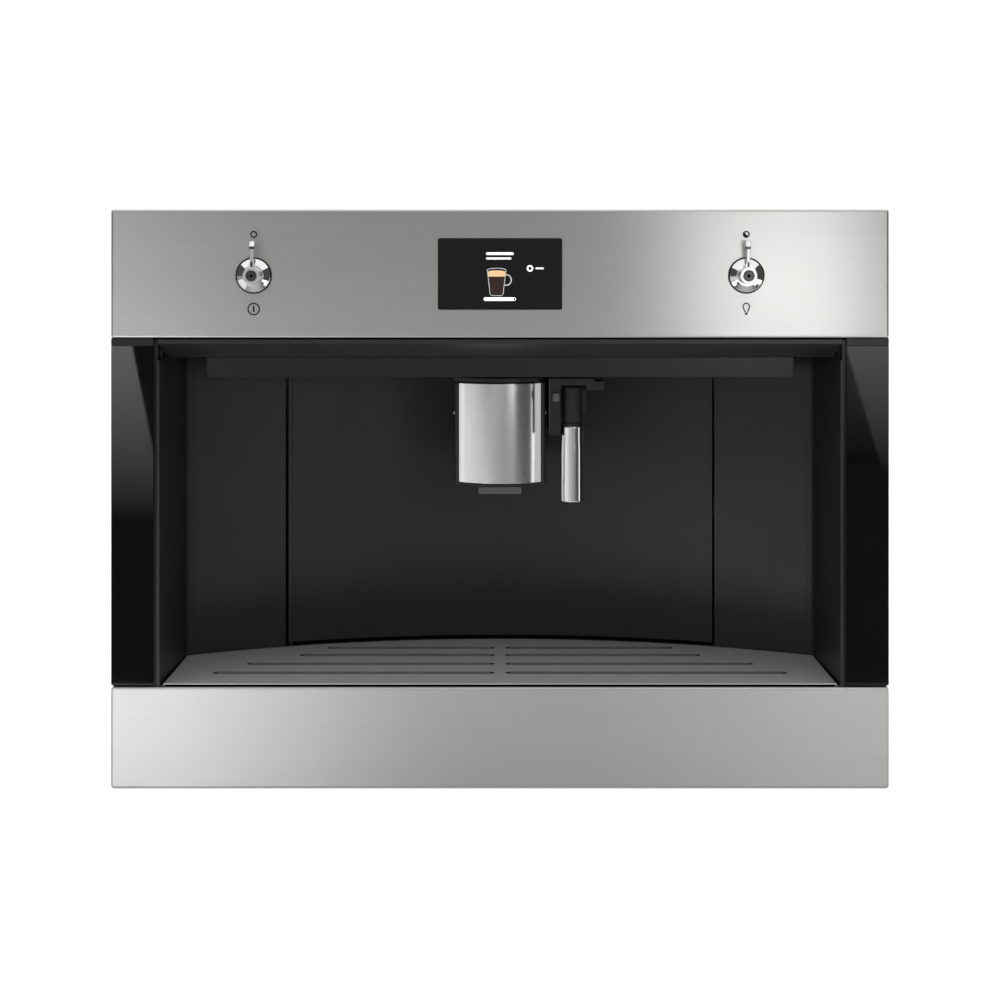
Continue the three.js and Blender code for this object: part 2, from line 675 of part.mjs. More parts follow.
// Sloping strip and ceiling over the recess, with an upstand to the upper fascia.
const VISOR_HALF = NICHE_HALF + NICHE_WALL - 0.4;
const VISOR_BACK = 139;
const CEILING_BACK = 195;
function visor() {
  const ceilingTop = NICHE_CEILING + MOULDING;
  const upstandBack = NICHE_FRONT + MOULDING;
  const upstandTop = UPPER_FASCIA_BOTTOM - SEAT;
  const slope = VISOR_RISE / (VISOR_DEPTH - NICHE_FRONT);
  const profile = outline([
    [NICHE_FRONT, NICHE_CEILING + VISOR_RISE], [VISOR_DEPTH, NICHE_CEILING], [VISOR_BACK, NICHE_CEILING],
    [VISOR_BACK, ceilingTop], [VISOR_DEPTH, ceilingTop],
    [upstandBack, ceilingTop + slope * (VISOR_DEPTH - upstandBack)], [upstandBack, upstandTop],
    [NICHE_FRONT, upstandTop],
  ]);
  const overDoor = BULKHEAD_X - CASE_SHEET;
  return joined(
    sided(profile, -VISOR_HALF, VISOR_HALF),
    block(-overDoor, overDoor, VISOR_BACK - 1, CEILING_BACK, NICHE_CEILING, ceilingTop),
  );
}
part("recess_visor", visor(), BLACK_SATIN);

// Door hinge axis, at the left end of the door
const BARREL_RADIUS = HINGE_ROD_RADIUS + HINGE_FIT + 0.9;
const HINGE_X = -(DOOR_HALF_WIDTH - BARREL_RADIUS);
const HINGE_Y = nicheY(HINGE_X) + DOOR_SKIN / 2;
const HINGE_SOCKET = HINGE_ROD_RADIUS + HINGE_FIT;

// Lamp housing: hangs below the ceiling, in front as a valance and behind as the door's header.
const HOUSING_HALF = NICHE_HALF - VALANCE_INSET;
const HOUSING_FRONT = VISOR_DEPTH + 2;
const HOUSING_BOTTOM = NICHE_CEILING - VALANCE_DROP;
const HOUSING_TOP = NICHE_CEILING - SEAT;
const HOUSING_CORNER = 4;
const HEADER_DEPTH = 7; // behind the visible curve, over the door
const LAMP_X = 110;
const LAMP_Y = 82;
const LAMP_LENGTH = 60;
const LAMP_WIDTH = 14;
const HINGE_BOSS_RADIUS = 4.5;

function housingPlan(inset) {
  const half = HOUSING_HALF - inset;
  const header = DOOR_EDGE - SEAT - inset;
  return outline([
    [-half, HOUSING_FRONT + inset], [half, HOUSING_FRONT + inset],
    ...arcPoints(-1 - inset, half, header, 4),
    ...arcPoints(HEADER_DEPTH - inset, header, -header, 12),
    ...arcPoints(-1 - inset, -header, -half, 4),
  ]);
}

function lampHousing() {
  const floor = HOUSING_BOTTOM + MOULDING;
  const shell = cut(
    raised(housingPlan(0), HOUSING_BOTTOM, HOUSING_TOP),
    raised(housingPlan(MOULDING), floor, HOUSING_TOP + 1),
  );
  // the visible front has rounded lower corners
  const back = nicheY(0, HEADER_DEPTH) + 1;
  const corners = cut(
    fronted(
      panel(-HOUSING_HALF - 1, HOUSING_HALF + 1, HOUSING_BOTTOM - 1, HOUSING_TOP + 1),
      HOUSING_FRONT - 1,
      back,
    ),
    fronted(
      panel(-HOUSING_HALF, HOUSING_HALF, HOUSING_BOTTOM, HOUSING_TOP + 2 * HOUSING_CORNER, HOUSING_CORNER),
      HOUSING_FRONT - 2,
      back + 1,
    ),
  );
  const bossRound = rod(HINGE_BOSS_RADIUS, floor - 1, HOUSING_TOP - 4, 12).translate(HINGE_X, HINGE_Y, 0);
  const behindHeader = block(
    HINGE_X - 2 * HINGE_BOSS_RADIUS, HINGE_X + 2 * HINGE_BOSS_RADIUS,
    nicheY(HINGE_X, HEADER_DEPTH - 1), back, floor - 2, HOUSING_TOP,
  );
  const boss = cut(bossRound, behindHeader);
  const windows = [-LAMP_X, LAMP_X].map((x) =>
    block(
      x - LAMP_LENGTH / 2, x + LAMP_LENGTH / 2, LAMP_Y - LAMP_WIDTH / 2, LAMP_Y + LAMP_WIDTH / 2,
      HOUSING_BOTTOM - 1, floor + 1,
    ),
  );
  const socket = rod(HINGE_SOCKET, HOUSING_BOTTOM - 1, HOUSING_TOP, 16).translate(HINGE_X, HINGE_Y, 0);
  return cut(joined(shell, boss), corners, ...windows, socket);
}
part("lamp_housing", lampHousing(), BLACK_SATIN);

// Each lamp lens drops through its window and rests on a rim.
function lampLens(x) {
  const lens = (inset, z0, z1) =>
    block(
      x - LAMP_LENGTH / 2 + inset, x + LAMP_LENGTH / 2 - inset,
      LAMP_Y - LAMP_WIDTH / 2 + inset, LAMP_Y + LAMP_WIDTH / 2 - inset, z0, z1,
    );
  const rest = HOUSING_BOTTOM + MOULDING + SEAT;
  return joined(lens(SEAT, HOUSING_BOTTOM + 0.2, rest + 1), lens(-2, rest, rest + 2));
}
for (const [name, side] of SIDES) part(`lamp_lens_${name}`, lampLens(side * LAMP_X), LENS);

// ---- Drip tray ------------------------------------------------------------------------------

const TRAY_GAP = 1.5; // plate to the lining, all round
const PLATE_FRONT = 3;
const PLATE_HALF = NICHE_HALF - 2 * TRAY_GAP;
const RIM_FRONT = FRAME_BACK + 1.7;
const BASIN_HALF = WALL_BACK - LEDGE_WIDTH - 3;
const BASIN_FLOOR = 46;
const TRAY_LIFT_DEG = 35; // the tray leaves forwards and upwards over the lower fascia
const BASIN_SLOPE = Math.tan((TRAY_LIFT_DEG * Math.PI) / 180);
const BASIN_FRONT = RIM_FRONT + 1.5;
const BASIN_FLOOR_FRONT = BASIN_FRONT + (RIM_TOP - BASIN_FLOOR) / BASIN_SLOPE;

const trayPlan = (half, front, offset) =>
  outline([
    [-half, front], [half, front],
    ...arcPoints(offset, Math.min(half, WALL_BACK) - TRAY_GAP, -Math.min(half, WALL_BACK) + TRAY_GAP, 16),
  ]);

// Rows of drain slots: [y, margin from the plate's side], each row in two halves with a bridge
// on the centre line.
const SLOT_ROWS = [[41.6, 35], [75, 57.2], [108.4, 96.5], [138.3, 116.7]];
const SLOT_WIDTH = 2.4;
const SLOT_BRIDGE = 14;

function cupPlate() {
  const plan = trayPlan(PLATE_HALF, PLATE_FRONT, -TRAY_GAP);
  for (const [y, margin] of SLOT_ROWS)
    for (const side of [-1, 1]) {
      const near = (side * SLOT_BRIDGE) / 2;
      const far = side * (PLATE_HALF - margin);
      plan.holes.push(
        panel(
          Math.min(near, far), Math.max(near, far), y - SLOT_WIDTH / 2, y + SLOT_WIDTH / 2,
          SLOT_WIDTH / 2 - 0.01,
        ),
      );
    }
  return raised(plan, CUP_PLATE_TOP - PLATE_SHEET, CUP_PLATE_TOP, 2);
}
part("cup_plate", cupPlate(), BRUSHED_STEEL);

const shared = (first, other) => surface(solid(first).intersect(solid(other)));

// The bowl: a rim that rests on the ledges and a basin whose front slopes along the way out.
function dripBowl() {
  const back = NICHE_DEPTH;
  const basin = (inset, top) => {
    const floor = BASIN_FLOOR + inset;
    const shift = inset / Math.sin((TRAY_LIFT_DEG * Math.PI) / 180);
    return shared(
      sided(
        outline([
          [BASIN_FRONT + shift, RIM_TOP], [BASIN_FLOOR_FRONT + shift - inset / BASIN_SLOPE, floor],
          [back, floor], [back, top], [BASIN_FRONT + shift, top],
        ]),
        -BASIN_HALF + inset,
        BASIN_HALF - inset,
      ),
      raised(trayPlan(BASIN_HALF + 1, 0, -2 * TRAY_GAP - inset), 0, 200),
    );
  };
  const rim = raised(trayPlan(PLATE_HALF - 1, RIM_FRONT, -TRAY_GAP), RIM_TOP - TRAY_RIM, RIM_TOP);
  return cut(joined(rim, basin(0, RIM_TOP)), basin(MOULDING, RIM_TOP + 1));
}
part("drip_bowl", dripBowl(), BLACK_MOULDED);

// ---- Service door ---------------------------------------------------------------------------

const DOOR_TOP = HOUSING_BOTTOM - SWING;

function doorSkin() {
  const skin = raised(
    curvedBand(HINGE_X, DOOR_HALF_WIDTH, 0, DOOR_SKIN, 24),
    DOOR_BOTTOM,
    DOOR_TOP,
  );
  const barrel = rod(BARREL_RADIUS, DOOR_BOTTOM, DOOR_TOP).translate(HINGE_X, HINGE_Y, 0);
  const bore = rod(HINGE_SOCKET, DOOR_BOTTOM - 1, DOOR_TOP + 1).translate(HINGE_X, HINGE_Y, 0);
  return cut(joined(skin, barrel), bore);
}
part("service_door", doorSkin(), BLACK_SATIN);

// The liner stiffens the door: a shallow curved pan, open towards the machine, with ribs.
const LINER_LEFT = HINGE_X + 9;
const LINER_RIGHT = DOOR_HALF_WIDTH - 6.5;
function doorLiner() {
  const front = DOOR_SKIN + SEAT;
  const back = front + DOOR_LINER;
  const bottom = DOOR_BOTTOM + 2.5;
  const top = DOOR_TOP - 2.5;
  const wall = MOULDING;
  const ribs = [-90, 90].map((x) => [x - wall / 2, x + wall / 2]);
  const edges = [LINER_LEFT + wall, ...ribs.flat(), LINER_RIGHT - wall];
  const pockets = [];
  for (let i = 0; i < edges.length; i += 2)
    pockets.push(
      raised(curvedBand(edges[i], edges[i + 1], front + wall, back + 1, 8), bottom + wall, top - wall),
    );
  return cut(raised(curvedBand(LINER_LEFT, LINER_RIGHT, front, back, 24), bottom, top), ...pockets);
}
part("door_liner", doorLiner(), BLACK_MOULDED);

const HINGE_ROD_BOTTOM = CUP_PLATE_TOP - 2;
part(
  "door_hinge_rod",
  rod(HINGE_ROD_RADIUS, HINGE_ROD_BOTTOM, HOUSING_TOP - 5).translate(HINGE_X, HINGE_Y, 0),
  RAIL_STEEL,
);

// A magnet catch behind the free edge of the door, halfway up.
const CATCH_HEIGHT = 16;
const CATCH_DEPTH = 10.7;
function doorCatch() {
  const left = LINER_RIGHT + 1;
  const front = nicheY(left, DOOR_SKIN) + SEAT;
  const bottom = (DOOR_BOTTOM + DOOR_TOP - CATCH_HEIGHT) / 2;
  return block(left, BULKHEAD_X - SEAT, front, front + CATCH_DEPTH, bottom, bottom + CATCH_HEIGHT);
}
part("door_catch", doorCatch(), BLACK_MOULDED);

// ---- Coffee spout: slides down its guide on the door ----------------------------------------

const SPOUT_TRAVEL = 50;
const SPOUT_FRONT = 64;
const SPOUT_BACK = 130;
const SHELL_HALF = 33;
const SPOUT_CHEEK = 3.8; // of the body, beside the shell
const SPOUT_HALF = SHELL_HALF + SPOUT_CHEEK;
const SHELL_RADIUS = 48.4;
const SHELL_SHEET = 1.2;
const SHELL_DROP = 4.1; // below the door's top edge
const SHELL_HEIGHT = 80.1;
const SHELL_TOP = DOOR_TOP - SHELL_DROP;
const SHELL_BOTTOM = SHELL_TOP - SHELL_HEIGHT;
const SPOUT_RIM = 2.2;
const NOZZLE_HALF = 18;
const NOZZLE_DEPTH = 24;
const NOZZLE_HEIGHT = 8.8; // below the shell
const NOZZLE_BOTTOM = SHELL_BOTTOM - NOZZLE_HEIGHT;
const NOZZLE_SETBACK = 9; // behind the front of the shell
const NOZZLE_PITCH = 20;
const NOZZLE_BORE = 2.6;
const GUIDE_HALF = 20; // T-shaped guide: flange
const GUIDE_NECK = 14; // and neck
const GUIDE_FRONT = 118;
const GUIDE_FLANGE = 6;
const GUIDE_CAP = 3.4;
const SHELL_CENTRE_Y = SPOUT_FRONT + SHELL_RADIUS;

const shellPoints = (radius, from, to, steps = 12) =>
  Array.from({ length: steps + 1 }, (_, i) => {
    const x = from + ((to - from) * i) / steps;
    return [x, SHELL_CENTRE_Y - Math.sqrt(radius ** 2 - x ** 2)];
  });

// The head in plan: curved front, flat cheeks.
const headPlan = (frontRadius, back) => {
  const cheek = SHELL_CENTRE_Y - Math.sqrt(SHELL_RADIUS ** 2 - SHELL_HALF ** 2);
  return outline([
    [SPOUT_HALF, back], [-SPOUT_HALF, back], [-SPOUT_HALF, cheek + 3],
    [-SPOUT_HALF + 0.9, cheek + 0.9], [-SHELL_HALF - SEAT, cheek],
    ...shellPoints(frontRadius, -SHELL_HALF, SHELL_HALF),
    [SHELL_HALF + SEAT, cheek], [SPOUT_HALF - 0.9, cheek + 0.9], [SPOUT_HALF, cheek + 3],
  ]);
};

function spoutBody() {
  const backed = SHELL_RADIUS - SHELL_SHEET - SEAT;
  const bottom = SHELL_BOTTOM - SPOUT_RIM;
  const body = raised(headPlan(backed, SPOUT_BACK), bottom, SHELL_TOP);
  const rim = raised(headPlan(SHELL_RADIUS, SPOUT_BACK), bottom, SHELL_BOTTOM - SEAT);
  const flangeSlot = block(
    -GUIDE_HALF - RUN, GUIDE_HALF + RUN, GUIDE_FRONT - RUN, GUIDE_FRONT + GUIDE_FLANGE + RUN,
    bottom - 1, SHELL_TOP + 1,
  );
  const neckSlot = block(
    -GUIDE_NECK - RUN, GUIDE_NECK + RUN, GUIDE_FRONT, SPOUT_BACK + 1, bottom - 1, SHELL_TOP + 1,
  );
  const lipFront = SPOUT_FRONT + NOZZLE_SETBACK;
  const lip = raised(
    panel(-NOZZLE_HALF, NOZZLE_HALF, lipFront, lipFront + NOZZLE_DEPTH, 4), NOZZLE_BOTTOM, bottom + 1,
  );
  const outlets = [-NOZZLE_PITCH / 2, NOZZLE_PITCH / 2].map((x) =>
    rod(NOZZLE_BORE, NOZZLE_BOTTOM - 1, bottom - 1, 10).translate(x, lipFront + NOZZLE_DEPTH / 2, 0),
  );
  return cut(joined(body, rim, lip), flangeSlot, neckSlot, ...outlets);
}
part("spout_body", spoutBody(), BLACK_MOULDED);

part(
  "spout_shell",
  raised(
    outline([
      ...shellPoints(SHELL_RADIUS, -SHELL_HALF, SHELL_HALF),
      ...shellPoints(SHELL_RADIUS - SHELL_SHEET, SHELL_HALF, -SHELL_HALF),
    ]),
    SHELL_BOTTOM,
    SHELL_TOP,
  ),
  BRUSHED_STEEL,
);

function spoutGuide() {
  const backing = -SEAT;
  const top = DOOR_TOP;
  const bottom = SHELL_BOTTOM - 5;
  const flange = block(
    -GUIDE_HALF, GUIDE_HALF, GUIDE_FRONT, GUIDE_FRONT + GUIDE_FLANGE, bottom, top - 1,
  );
  const neck = raised(
    outline([
      [-GUIDE_NECK, GUIDE_FRONT + 1], [GUIDE_NECK, GUIDE_FRONT + 1],
      ...arcPoints(backing, GUIDE_NECK, -GUIDE_NECK, 4),
    ]),
    bottom,
    top - 1,
  );
  const capHalf = SPOUT_HALF + 0.6;
  const cap = raised(
    outline([
      ...shellPoints(SHELL_RADIUS - 1.5, -SHELL_HALF, SHELL_HALF),
      [capHalf, SPOUT_FRONT + 18], ...arcPoints(backing, capHalf, -capHalf, 6),
      [-capHalf, SPOUT_FRONT + 18],
    ]),
    top - GUIDE_CAP,
    top,
  );
  return joined(flange, neck, cap);
}
part("spout_guide", spoutGuide(), BLACK_SATIN);

// ---- Hot water outlet: plugs into its connector on the door ---------------------------------

const CONNECTOR_GAP = 2.8; // beside the spout
const CONNECTOR_LEFT = SPOUT_HALF + CONNECTOR_GAP;
const WATER_X = CONNECTOR_LEFT + 18.6;
const WATER_Y = 72;
const PLUG_Z = DOOR_TOP - 19;
const PLUG_RADIUS = 4.5;
const PLUG_FIT = 0.1;
const PLUG_ENGAGED = 13;
const SLEEVE_RADIUS = 7.7;
const SLEEVE_TOP = DOOR_TOP - 6.3;
const SLEEVE_BOTTOM = SLEEVE_TOP - 29.7;
const SLEEVE_RIM = 2; // its flared foot
const TUBE_RADIUS = 9.6;
const TUBE_NECK_RADIUS = 9.2;
const TUBE_NECK_HEIGHT = 13;
const TUBE_WALL = 1.2;
const TUBE_LENGTH = 60.7;
const TUBE_TOP = SLEEVE_BOTTOM - SLEEVE_RIM - SEAT;
const TUBE_BOTTOM = TUBE_TOP - TUBE_LENGTH;
const TUBE_STUB = 16; // of the sleeve, inside the tube
const SOCKET_FRONT = 86;
const SOCKET_RIGHT = WATER_X + 11.8;
const SOCKET_HEIGHT = 30; // down from the door's top edge
const CONNECTOR_FRONT = 66;
const CONNECTOR_STRIP = 9; // width of the strip that reaches forwards
const CONNECTOR_HEIGHT = 45.6; // down from the door's top edge
const BUTTON_X = CONNECTOR_LEFT + 5.2;
const BUTTON_Z = DOOR_TOP - 15;
const BUTTON_WIDTH = 5.2;
const BUTTON_HEIGHT = 6.4;
const BUTTON_PROUD = 2.2;
const BUTTON_TRAVEL = 1.5;
const BUTTON_DEPTH = 10;
const ARM_HEIGHT = 5.5;
const ARM_RIGHT = WATER_X + 17.8;
const STEP_LEFT = WATER_X + 10.8;
const STEP_RIGHT = WATER_X + 25.4;
const STEP_TOP = DOOR_TOP - 2.5;
const STEP_HEIGHT = 7;

function waterConnector() {
  const stripRight = CONNECTOR_LEFT + CONNECTOR_STRIP;
  const strip = raised(
    outline([
      [CONNECTOR_LEFT, CONNECTOR_FRONT], [stripRight, CONNECTOR_FRONT],
      ...arcPoints(-SEAT, stripRight, CONNECTOR_LEFT, 2),
    ]),
    DOOR_TOP - CONNECTOR_HEIGHT,
    DOOR_TOP,
  );
  const socketBlock = raised(
    outline([
      [stripRight - 1, SOCKET_FRONT], [SOCKET_RIGHT, SOCKET_FRONT],
      ...arcPoints(-SEAT, SOCKET_RIGHT, stripRight - 1, 3),
    ]),
    DOOR_TOP - SOCKET_HEIGHT,
    DOOR_TOP,
  );
  const arm = block(
    stripRight - 1, ARM_RIGHT, CONNECTOR_FRONT, SOCKET_FRONT + 1, DOOR_TOP - ARM_HEIGHT, DOOR_TOP,
  );
  const step = block(
    STEP_LEFT, STEP_RIGHT, CONNECTOR_FRONT + 2, SOCKET_FRONT + 8, STEP_TOP - STEP_HEIGHT, STEP_TOP,
  );
  const socket = facingFront(
    rod(PLUG_RADIUS + PLUG_FIT, -SOCKET_FRONT - PLUG_ENGAGED - 2, 1 - SOCKET_FRONT),
  ).translate(WATER_X, 0, PLUG_Z);
  const buttonWell = block(
    BUTTON_X - BUTTON_WIDTH / 2 - SEAT, BUTTON_X + BUTTON_WIDTH / 2 + SEAT,
    CONNECTOR_FRONT - 1, CONNECTOR_FRONT + BUTTON_DEPTH - BUTTON_PROUD + BUTTON_TRAVEL + SEAT,
    BUTTON_Z - BUTTON_HEIGHT / 2 - SEAT, BUTTON_Z + BUTTON_HEIGHT / 2 + SEAT,
  );
  return cut(joined(strip, socketBlock, arm, step), socket, buttonWell);
}
part("water_connector", waterConnector(), BLACK_SATIN);

part(
  "release_button",
  block(
    BUTTON_X - BUTTON_WIDTH / 2, BUTTON_X + BUTTON_WIDTH / 2,
    CONNECTOR_FRONT - BUTTON_PROUD, CONNECTOR_FRONT - BUTTON_PROUD + BUTTON_DEPTH,
    BUTTON_Z - BUTTON_HEIGHT / 2, BUTTON_Z + BUTTON_HEIGHT / 2,
  ),
  BLACK_MOULDED,
);

const hotWaterOutlet = new THREE.Group();
hotWaterOutlet.position.set(WATER_X, WATER_Y, 0);
coffeeMachine.add(hotWaterOutlet);

function waterSleeve() {
  const stub = TUBE_RADIUS - TUBE_WALL - SEAT;
  const grip = turned([
    [0, TUBE_TOP - TUBE_STUB], [stub, TUBE_TOP - TUBE_STUB], [stub, SLEEVE_BOTTOM - SLEEVE_RIM],
    [SLEEVE_RADIUS + 0.9, SLEEVE_BOTTOM - SLEEVE_RIM], [SLEEVE_RADIUS + 0.9, SLEEVE_BOTTOM],
    [SLEEVE_RADIUS, SLEEVE_BOTTOM + 0.6], [SLEEVE_RADIUS, SLEEVE_TOP - 1], [SLEEVE_RADIUS - 1, SLEEVE_TOP],
    [0, SLEEVE_TOP],
  ], 20);
  const plugEnd = SOCKET_FRONT + PLUG_ENGAGED - WATER_Y;
  const plug = facingFront(rod(PLUG_RADIUS, -plugEnd, 0)).translate(0, 0, PLUG_Z);
  return joined(grip, plug);
}
part("water_sleeve", waterSleeve(), BLACK_MOULDED, hotWaterOutlet);

part(
  "water_tube",
  turned([
    [TUBE_RADIUS - TUBE_WALL, TUBE_BOTTOM], [TUBE_RADIUS, TUBE_BOTTOM],
    [TUBE_RADIUS, TUBE_TOP - TUBE_NECK_HEIGHT], [TUBE_NECK_RADIUS, TUBE_TOP - TUBE_NECK_HEIGHT],
    [TUBE_NECK_RADIUS, TUBE_TOP], [TUBE_RADIUS - TUBE_WALL, TUBE_TOP],
  ], 24),
  BRUSHED_STEEL,
  hotWaterOutlet,
);

// ---- Knobs ----------------------------------------------------------------------------------

const ENCODER_FRONT = FASCIA_SHEET + SEAT;
const ENCODER_DEPTH = 12.2;
const SHAFT_FIT = 0.1;
const SHAFT_BACK = 10; // behind the front plane
const HUB_FRONT = KNOB_REACH - 0.7;
const CAP_RECESS = 1;
const HUB_WEB = 2; // between the cap's recess and the shaft's bore
const BORE_END = HUB_FRONT - CAP_RECESS - HUB_WEB;
const SHAFT_FRONT = BORE_END - KNOB_TRAVEL - RUN; // in front of it, clear of the pressed lever
const LEVER_BACK = 9.5;

// Heights in these profiles are distances in front of the fascia.
function escutcheon() {
  const bore = HUB_RADIUS - 0.8;
  return facingFront(turned([
    [bore, SEAT], [ESCUTCHEON_RADIUS, SEAT], [ESCUTCHEON_RADIUS, 1.2], [ESCUTCHEON_RADIUS - 0.7, 1.9],
    [HUB_RADIUS + 1.2, ESCUTCHEON_HEIGHT], [bore, ESCUTCHEON_HEIGHT],
  ], 24));
}

function lever() {
  const bore = SHAFT_RADIUS + SHAFT_FIT;
  const hub = turned([
    [0, BORE_END], [bore, BORE_END], [bore, HUB_BACK], [HUB_RADIUS - 1.3, HUB_BACK],
    [HUB_RADIUS, HUB_BACK + 1.6], [HUB_RADIUS, HUB_FRONT - 0.7], [HUB_RADIUS - 0.6, HUB_FRONT],
    [KNOB_CAP_RADIUS + SEAT, HUB_FRONT], [KNOB_CAP_RADIUS + SEAT, HUB_FRONT - CAP_RECESS],
    [KNOB_CAP_RADIUS, HUB_FRONT - CAP_RECESS], [KNOB_CAP_RADIUS - 0.3, KNOB_REACH], [1, KNOB_REACH],
    [1, KNOB_REACH - 0.7], [0, KNOB_REACH - 0.7],
  ], 16);
  const half = LEVER_WIDTH / 2;
  const neck = LEVER_LENGTH - LEVER_TIP_LENGTH;
  const stem = new THREE.Shape();
  stem.moveTo(-HUB_RADIUS * 0.82, HUB_RADIUS * 0.4);
  stem.lineTo(HUB_RADIUS * 0.82, HUB_RADIUS * 0.4);
  stem.quadraticCurveTo(half, HUB_RADIUS * 1.1, half, HUB_RADIUS * 1.9);
  stem.lineTo(half, neck + 0.4);
  stem.lineTo(-half, neck + 0.4);
  stem.lineTo(-half, HUB_RADIUS * 1.9);
  stem.quadraticCurveTo(-half, HUB_RADIUS * 1.1, -HUB_RADIUS * 0.82, HUB_RADIUS * 0.4);
  const front = LEVER_BACK + LEVER_THICKNESS;
  const tip = raised(
    panel(-LEVER_TIP_WIDTH / 2, LEVER_TIP_WIDTH / 2, neck, LEVER_LENGTH, 1.2),
    LEVER_BACK - 0.6,
    front + 0.6,
    3,
  );
  const shank = raised(stem, LEVER_BACK, front, 5);
  const seat = rod(bore, HUB_BACK - 1, BORE_END);
  return facingFront(cut(joined(hub, shank, tip), seat));
}

for (const [name, side] of SIDES) {
  const knob = new THREE.Group();
  knob.position.set(side * KNOB_X, 0, KNOB_Z);
  coffeeMachine.add(knob);
  part(`knob_disc_${name}`, escutcheon(), CHROME, knob);
  part(`knob_shaft_${name}`, facingFront(rod(SHAFT_RADIUS, -SHAFT_BACK, SHAFT_FRONT)), RAIL_STEEL, knob);
  part(`knob_lever_${name}`, lever(), CHROME, knob);
}

// ---- Display and control board --------------------------------------------------------------

const MODULE_FRONT = 2.8;
const BOARD_FRONT = ENCODER_FRONT + ENCODER_DEPTH;
const BOARD_SHEET = 1.6;

const displayPane = (halfWidth, halfHeight, y0, y1, radius) =>
  fronted(
    panel(-halfWidth, halfWidth, DISPLAY_Z - halfHeight, DISPLAY_Z + halfHeight, radius), y0, y1,
  );
part(
  "display_glass",
  displayPane(DISPLAY_WIDTH / 2, DISPLAY_HEIGHT / 2, SEAT, SEAT + DISPLAY_GLASS, DISPLAY_CORNER),
  BLACK_GLASS,
);

// The board carries the display module and the two encoders that the knob shafts turn in.
function controlBoard() {
  const board = displayPane(KNOB_X + ENCODER_WIDTH / 2, 22, BOARD_FRONT, BOARD_FRONT + BOARD_SHEET);
  const module = displayPane(
    DISPLAY_WIDTH / 2 + 2, DISPLAY_HEIGHT / 2 + 2, MODULE_FRONT, BOARD_FRONT + WELD, 2,
  );
  const half = ENCODER_WIDTH / 2;
  const encoders = [-KNOB_X, KNOB_X].map((x) =>
    cut(
      block(x - half, x + half, ENCODER_FRONT, BOARD_FRONT + WELD, KNOB_Z - half, KNOB_Z + half),
      facingFront(rod(SHAFT_RADIUS + SHAFT_FIT, -SHAFT_BACK - 1, 0)).translate(x, 0, KNOB_Z),
    ),
  );
  return joined(board, module, ...encoders);
}
part("control_board", controlBoard(), BOARD_GREEN);

// ---- Inner structure ------------------------------------------------------------------------

const BULKHEAD_FRONT = nicheY(BULKHEAD_X, NICHE_WALL) + 2 * SEAT;
const BULKHEAD_FOOT = 12;
const FOOT_BOTTOM = PAN_BOTTOM + PAN_SHEET + SEAT;
const HOPPER_ROOM = 91; // upper deck to the top panel
const UPPER_DECK = CASE_TOP - HOPPER_ROOM;
const UPPER_DECK_SHEET = 2;
const UPPER_DECK_FRONT = 197;
const GRINDER_X = 0;
const GRINDER_Y = (HOPPER_FRONT + HOPPER_BACK) / 2;
const THROAT_RADIUS = 24;

// A wall between the cavity and a side bay, with its foot and the shelf that reaches the side panel.
function bulkhead(side) {
  const out = BULKHEAD_X + CASE_SHEET;
  const wall = fronted(
    mirroredOutline(side, [
      [BULKHEAD_X - BULKHEAD_FOOT, FOOT_BOTTOM], [out, FOOT_BOTTOM], [out, UPPER_DECK + 1],
      [BULKHEAD_X, UPPER_DECK + 1], [BULKHEAD_X, FOOT_BOTTOM + CASE_SHEET],
      [BULKHEAD_X - BULKHEAD_FOOT, FOOT_BOTTOM + CASE_SHEET],
    ]),
    BULKHEAD_FRONT,
    CASE_BACK,
  );
  const flangeTop = SIDE_BOTTOM + CASE_SHEET + SEAT;
  const reach = CASE_HALF - CASE_SHEET - SEAT;
  const shelf = fronted(
    mirroredOutline(side, [
      [out - WELD, TANK_SHELF_TOP - 2], [PAN_HALF, TANK_SHELF_TOP - 2], [PAN_HALF, flangeTop],
      [reach, flangeTop], [reach, TANK_SHELF_TOP], [out - WELD, TANK_SHELF_TOP],
    ]),
    BULKHEAD_FRONT + 5,
    CASE_BACK - 5,
  );
  return joined(wall, shelf);
}

// The inner frame: two bulkheads and the deck over the cavity, which carries hopper and grinder.
function innerFrame() {
  const deck = block(
    -BULKHEAD_X - CASE_SHEET, BULKHEAD_X + CASE_SHEET, UPPER_DECK_FRONT, CASE_BACK - SEAT,
    UPPER_DECK, UPPER_DECK + UPPER_DECK_SHEET,
  );
  const throat = rod(THROAT_RADIUS + 1, UPPER_DECK - 1, UPPER_DECK + 5, 24)
    .translate(GRINDER_X, GRINDER_Y, 0);
  return cut(joined(deck, ...SIDES.map(([, side]) => bulkhead(side))), throat);
}
part("inner_frame", innerFrame(), GALVANISED);

